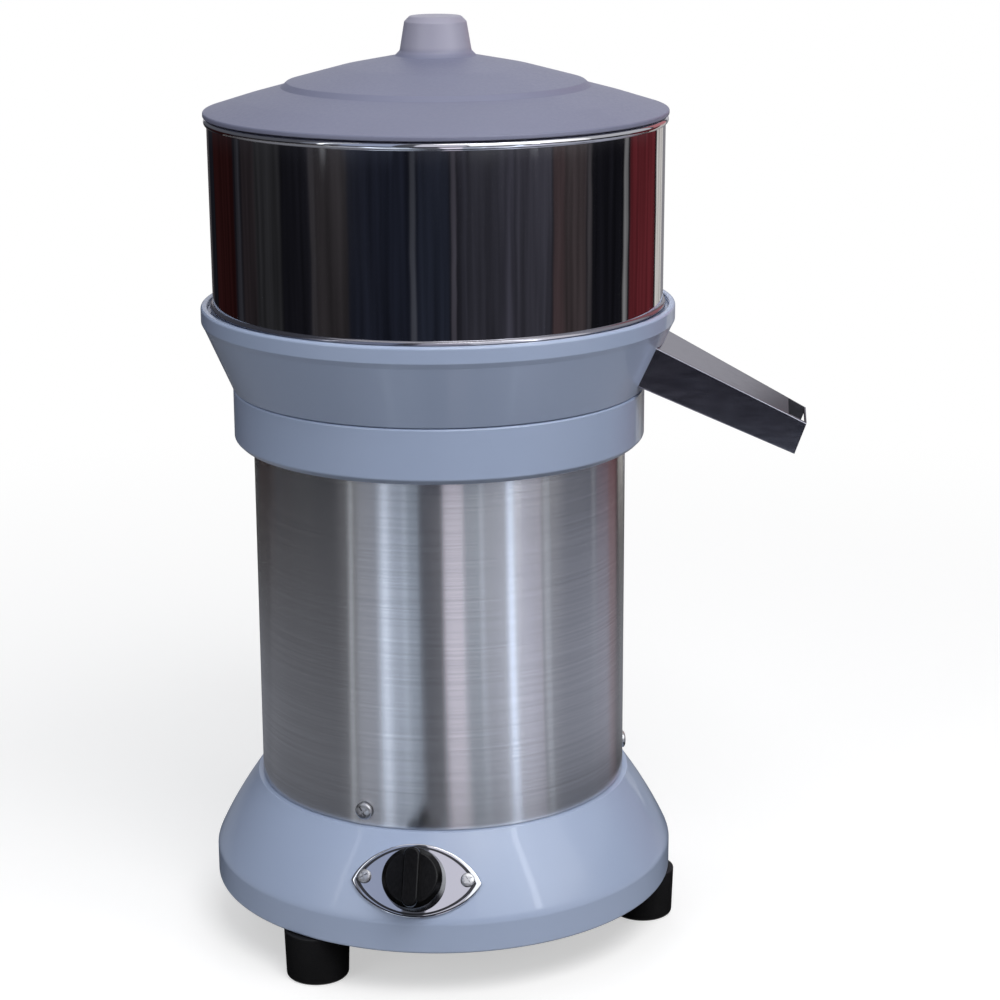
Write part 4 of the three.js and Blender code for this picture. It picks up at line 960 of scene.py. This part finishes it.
def makeFloorMaterial():
    # pale near the object, where its shadow falls, plain white far from it, and clear from below
    material, tree = bareMaterial("paleFloor")
    place = addNode(tree, "TexCoord").outputs["Object"]
    reach = addNode(tree, "VectorMath", {0: place}, operation="LENGTH").outputs["Value"]
    tone = addNode(tree, "Mix", {
        "Factor": smoothShare(tree, reach, *stageSizes["bounceFade"]),
        "A": (*stageSizes["bounceNear"], 1), "B": (*stageSizes["bounceFar"], 1)}, data_type="RGBA")
    bounce = addNode(tree, "BsdfDiffuse", {"Color": tone.outputs["Result"]})
    shown = addNode(tree, "BsdfDiffuse", {"Color": (*stageSizes["floorSeen"], 1)})
    lift = addNode(tree, "Emission", {"Strength": stageSizes["lift"]})
    near = addNode(tree, "AddShader", {0: shown.outputs[0], 1: lift.outputs[0]})
    far = mixed(tree, smoothShare(tree, reach, *stageSizes["fade"]), near, addNode(tree, "Emission"))
    above = mixed(tree, seenRays(tree), bounce, far)
    below = addNode(tree, "NewGeometry").outputs["Backfacing"]
    whole = mixed(tree, below, above, addNode(tree, "BsdfTransparent"))
    feed(tree, tree.nodes["Material Output"], {"Surface": whole.outputs["Shader"]})
    return material


side = stageSizes["floor"] / 2
stagePiece("floor", [(-side, -side, 0), (side, -side, 0), (side, side, 0), (-side, side, 0)],
           [(0, 1, 2, 3)], makeFloorMaterial())

cameraValues = {
    "lens": 91.154, "sensor": 36.0, "distance": 1052.0, "turn": 7.4, "height": 471.37,
    "yaw": 0.0243575, "pitch": 0.264079, "roll": -0.0043518,
}
cardValues = {
    "radius": 0.80, "height": 1.75, "ringLow": 0.002, "disc": 0.795, "discHeight": 0.001, "sides": 128,
    "ringStart": (0.0015, 0.012), "split": (0.24, 0.36), "discStart": (0.17, 0.27),
    "discEnd": (0.82, 0.72), "nearPart": (0.68, 0.34), "nearShare": 0.58, "straighten": 2.7,
    "uneven": (0.62, 1.42), "unevenNoise": (0.3, 0.7), "unevenDetail": 3, "unevenScale": (26, 26, 5),
    "edges": {"low": 2.6, "high": 1.3, "floor": 1.3, "near": 16},
    "lowDark": (0.008, 0.008, 0.011), "highDark": (0.10, 0.105, 0.125),
    "floorDark": (0.085, 0.083, 0.085), "nearDark": (0.30, 0.315, 0.36),
    # from and to in degrees from the camera, and the added light
    "low": [(-182, -152, (0.050, 0.045, 0.045)), (-141, -115, (0.010, -0.003, -0.006)),
            (-113, -109, (0.020, 0.020, 0.023)), (-108, -97, (0.013, 0.009, 0.008)),
            (-97, -80, (0.014, 0.014, 0.013)), (-63, -60, (0.034, 0.031, 0.032)),
            (-60, -44, (0.020, 0.017, 0.016)), (-43, 3.4, (0.004, 0.006, 0.012)),
            (-14.5, -12, (0.034, 0.035, 0.038)), (-11, 3.4, (0.004, 0.005, 0.007)),
            (4.2, 6.6, (0.048, 0.045, 0.055)), (7.5, 12, (0.019, 0.019, 0.025)),
            (12, 28, (0.024, 0.024, 0.031)), (28, 35, (0.042, 0.041, 0.054)),
            (35.5, 54, (0.040, 0.039, 0.050)), (55, 61, (0.062, 0.040, 0.040)),
            (61, 74.5, (0.040, 0.030, 0.029)), (75.5, 78, (0.050, 0.045, 0.047)),
            (102, 105.5, (0.22, 0.22, 0.22)), (107.5, 136, (0.102, 0.0098, 0.0115)),
            (139, 152, (0.58, 0.56, 0.53)), (152, 182, (0.24, 0.235, 0.25))],
    "high": [(-65, -46, (0.12, 0.13, 0.16)), (-56.5, -54, (2.2, 2.3, 2.4)),
             (-46, -22, (0.28, 0.33, 0.47)), (-12, 12, (0.70, 0.69, 0.78)),
             (13, 36, (1.4, 1.45, 1.5)), (36, 53, (1.8, 1.85, 1.9)), (42.5, 46, (5.0, 5.2, 5.4)),
             (53, 75, (1.5, 1.5, 1.5)), (75, 125, (0.5, 0.5, 0.52)), (128, 150, (0.45, 0.12, 0.12)),
             (154, 204, (0.46, 0.45, 0.47))],
    "floor": [(-129, -59.1, (0.052, 0.052, 0.056)), (-58.9, -56.5, (0.95, 1.00, 1.08)),
              (-54, -41, (0.47, 0.50, 0.60)), (-41, -32.1, (1.10, 1.26, 1.52)),
              (-38.6, -34.4, (0.95, 1.04, 1.20)), (-32.1, -24.4, (0.95, 1.09, 1.32)),
              (-24.4, -16, (0.70, 0.82, 1.00)), (-25.4, -22.9, (0.5, 0.56, 0.62)),
              (-16, -1.7, (-0.045, -0.040, -0.025)), (-1.7, 10.7, (1.60, 1.51, 1.74)),
              (10.7, 23.7, (0.52, 0.60, 0.74)), (20.8, 22.9, (0.6, 0.62, 0.7)),
              (23.7, 36.7, (0.62, 0.66, 0.80)), (36.7, 45.5, (0.80, 0.86, 1.04)),
              (38.4, 42.8, (1.25, 1.50, 1.95)), (45.5, 62.3, (0.70, 0.69, 0.88)),
              (63.7, 69, (0.62, 0.68, 0.80)), (69.5, 128, (0.24, 0.255, 0.33)),
              (128, 140.2, (0.25, 0.17, 0.19))],
    "near": [(22, 125, (0.22, 0.23, 0.27)), (30, 52, (0.34, 0.36, 0.41))],
}


def makeCardMaterial():
    # light by direction: bands low on the ring, high on it, and on the disc far from and near the object
    material, tree = bareMaterial("studioCards")

    def calculate(operation, first, second=0):
        return addNode(tree, "Math", {0: first, 1: second}, operation=operation).outputs[0]

    def vectors(operation, inputs):
        return addNode(tree, "VectorMath", inputs, operation=operation).outputs["Vector"]

    def blend(share, first, second):
        both = addNode(tree, "Mix", {"Factor": share, "A": first, "B": second}, data_type="VECTOR")
        return both.outputs["Result"]

    def fade(value, which):
        return smoothShare(tree, value, *cardValues[which])

    def bands(which, angle):
        total = cardValues[which + "Dark"]
        for start, end, light in cardValues[which]:
            middle, half = (start + end) / 2, (end - start) / 2
            edge = min(cardValues["edges"][which], half) / 2
            offset = addNode(tree, "Math", {0: calculate("SUBTRACT", angle, middle), 1: 180, 2: -180},
                             operation="WRAP").outputs[0]
            share = smoothShare(tree, calculate("ABSOLUTE", offset), half + edge, half - edge)
            total = vectors("MULTIPLY_ADD", {0: share, 1: light, 2: total})
        return total

    place = addNode(tree, "TexCoord").outputs["Object"]
    x, y, z = addNode(tree, "SeparateXYZ", {0: place}).outputs
    around = calculate("ARCTAN2", x, calculate("MULTIPLY", y, -1))
    angle = calculate("SUBTRACT", calculate("DEGREES", around), cameraValues["turn"])
    reach = calculate("SQRT", calculate("ADD", calculate("POWER", x, 2), calculate("POWER", y, 2)))
    # turned a little with the distance, so that a tube shows the floor's bands upright
    bend = calculate("SINE", calculate("RADIANS", calculate("MULTIPLY", angle, 0.5)))
    bend = calculate("MULTIPLY", calculate("DIVIDE", bend, reach), cardValues["straighten"])
    nearShare = calculate("MULTIPLY", fade(reach, "nearPart"), cardValues["nearShare"])
    disc = blend(nearShare, bands("floor", calculate("ADD", angle, bend)), bands("near", angle))
    lit = calculate("MULTIPLY", fade(reach, "discStart"), fade(reach, "discEnd"))
    # a room is never as even as painted cards
    noise = addNode(tree, "TexNoise", {
        "Vector": vectors("MULTIPLY", {0: place, 1: cardValues["unevenScale"]}), "Scale": 1,
        "Detail": cardValues["unevenDetail"]}).outputs["Fac"]
    (start, end), (least, most) = cardValues["unevenNoise"], cardValues["uneven"]
    uneven = addNode(tree, "MapRange", {"Value": noise, "From Min": start, "From Max": end,
                                        "To Min": least, "To Max": most}).outputs["Result"]
    room = vectors("SCALE", {0: bands("low", angle), "Scale": uneven})
    ring = blend(fade(z, "split"), room, bands("high", angle))
    disc = vectors("SCALE", {0: disc, "Scale": lit})
    glow = addNode(tree, "Emission", {"Color": blend(fade(z, "ringStart"), disc, ring)})
    feed(tree, tree.nodes["Material Output"], {"Surface": glow.outputs["Emission"]})
    return material


def makeCards():
    # a ring around the set and a disc on its floor, seen in gloss alone
    sides, verts, faces = cardValues["sides"], [], []
    turns = [(math.cos(2 * math.pi * i / sides), math.sin(2 * math.pi * i / sides)) for i in range(sides)]
    for i, (x, y) in enumerate(turns):
        x, y, j = x * cardValues["radius"], y * cardValues["radius"], (i + 1) % sides
        verts += [(x, y, cardValues["ringLow"]), (x, y, cardValues["height"])]
        faces.append((2 * i, 2 * j, 2 * j + 1, 2 * i + 1))
    verts += [(x * cardValues["disc"], y * cardValues["disc"], cardValues["discHeight"]) for x, y in turns]
    faces.append(tuple(range(2 * sides, 3 * sides)))
    cards = stagePiece("studioCards", verts, faces, makeCardMaterial())
    for ray in ("camera", "diffuse", "transmission", "volume_scatter", "shadow"):
        setattr(cards, "visible_" + ray, False)


makeCards()

lampSizes = {"distance": 1.6, "size": 0.9, "aim": 0.2}
lampValues = [
    # name, azimuth from the camera, elevation, power, colour
    ("front", 15, 50, 12.0, (1.0, 0.99, 0.98)),
    ("right", 45, 50, 4.4, (1.0, 0.985, 0.97)),
    ("left", -100, 50, 1.6, (0.95, 0.97, 1.0)),
    ("lowRight", 60, 15, 3.9, (1.0, 0.985, 0.97)),
    ("lowLeft", -45, 15, 4.5, (0.97, 0.985, 1.0)),
    ("back", 175, 40, 3.0, (0.97, 0.985, 1.0)),
]
centre = Vector((axis.x, axis.y, lampSizes["aim"]))
for name, azimuth, elevation, power, tint in lampValues:
    data = bpy.data.lights.new(name, "AREA")
    data.shape = "DISK"
    data.size, data.energy, data.color = lampSizes["size"], power, tint
    lamp = newObject(name, data)
    a, e = math.radians(azimuth + cameraValues["turn"]), math.radians(elevation)
    back = Vector((math.sin(a) * math.cos(e), -math.cos(a) * math.cos(e), math.sin(e)))
    lamp.location = centre + back * lampSizes["distance"]
    lamp.rotation_euler = (-back).to_track_quat("-Z", "Y").to_euler()

worldValues = {"ambient": (0.28, 0.285, 0.295, 1), "backdrop": (1, 1, 1, 1)}
world = bpy.data.worlds.new("softStudio")
bpy.context.scene.world = world
world.use_nodes = True
tree = world.node_tree
tree.nodes.clear()
ambient = addNode(tree, "Background", {"Color": worldValues["ambient"]})
white = addNode(tree, "Background", {"Color": worldValues["backdrop"]})
addNode(tree, "OutputWorld", {"Surface": mixed(tree, seenRays(tree), ambient, white).outputs["Shader"]})
print("stage and lamps ready")


# Camera at the photograph's viewing angle

def makeCamera():
    values = cameraValues
    turn, distance = math.radians(values["turn"]), values["distance"]
    yaw, pitch, roll = values["yaw"], values["pitch"], values["roll"]
    forward = Vector((math.sin(yaw) * math.cos(pitch), math.cos(yaw) * math.cos(pitch), -math.sin(pitch)))
    right = Vector((math.cos(yaw), -math.sin(yaw), 0))
    up = right.cross(forward)
    level = right * math.cos(roll) + up * math.sin(roll)
    upright = up * math.cos(roll) - right * math.sin(roll)
    basis = Matrix.Rotation(turn, 3, "Z") @ Matrix((level, upright, -forward)).transposed()
    data = bpy.data.cameras.new("photoCamera")
    data.lens, data.sensor_width = values["lens"], values["sensor"]
    camera = newObject("photoCamera", data)
    spot = Vector((math.sin(turn) * distance, -math.cos(turn) * distance, values["height"]))
    camera.matrix_world = Matrix.Translation(axis + spot * mm) @ basis.to_4x4()
    bpy.context.scene.camera = camera


makeCamera()
bpy.context.scene.view_settings.view_transform = "Standard"

print("scene complete")
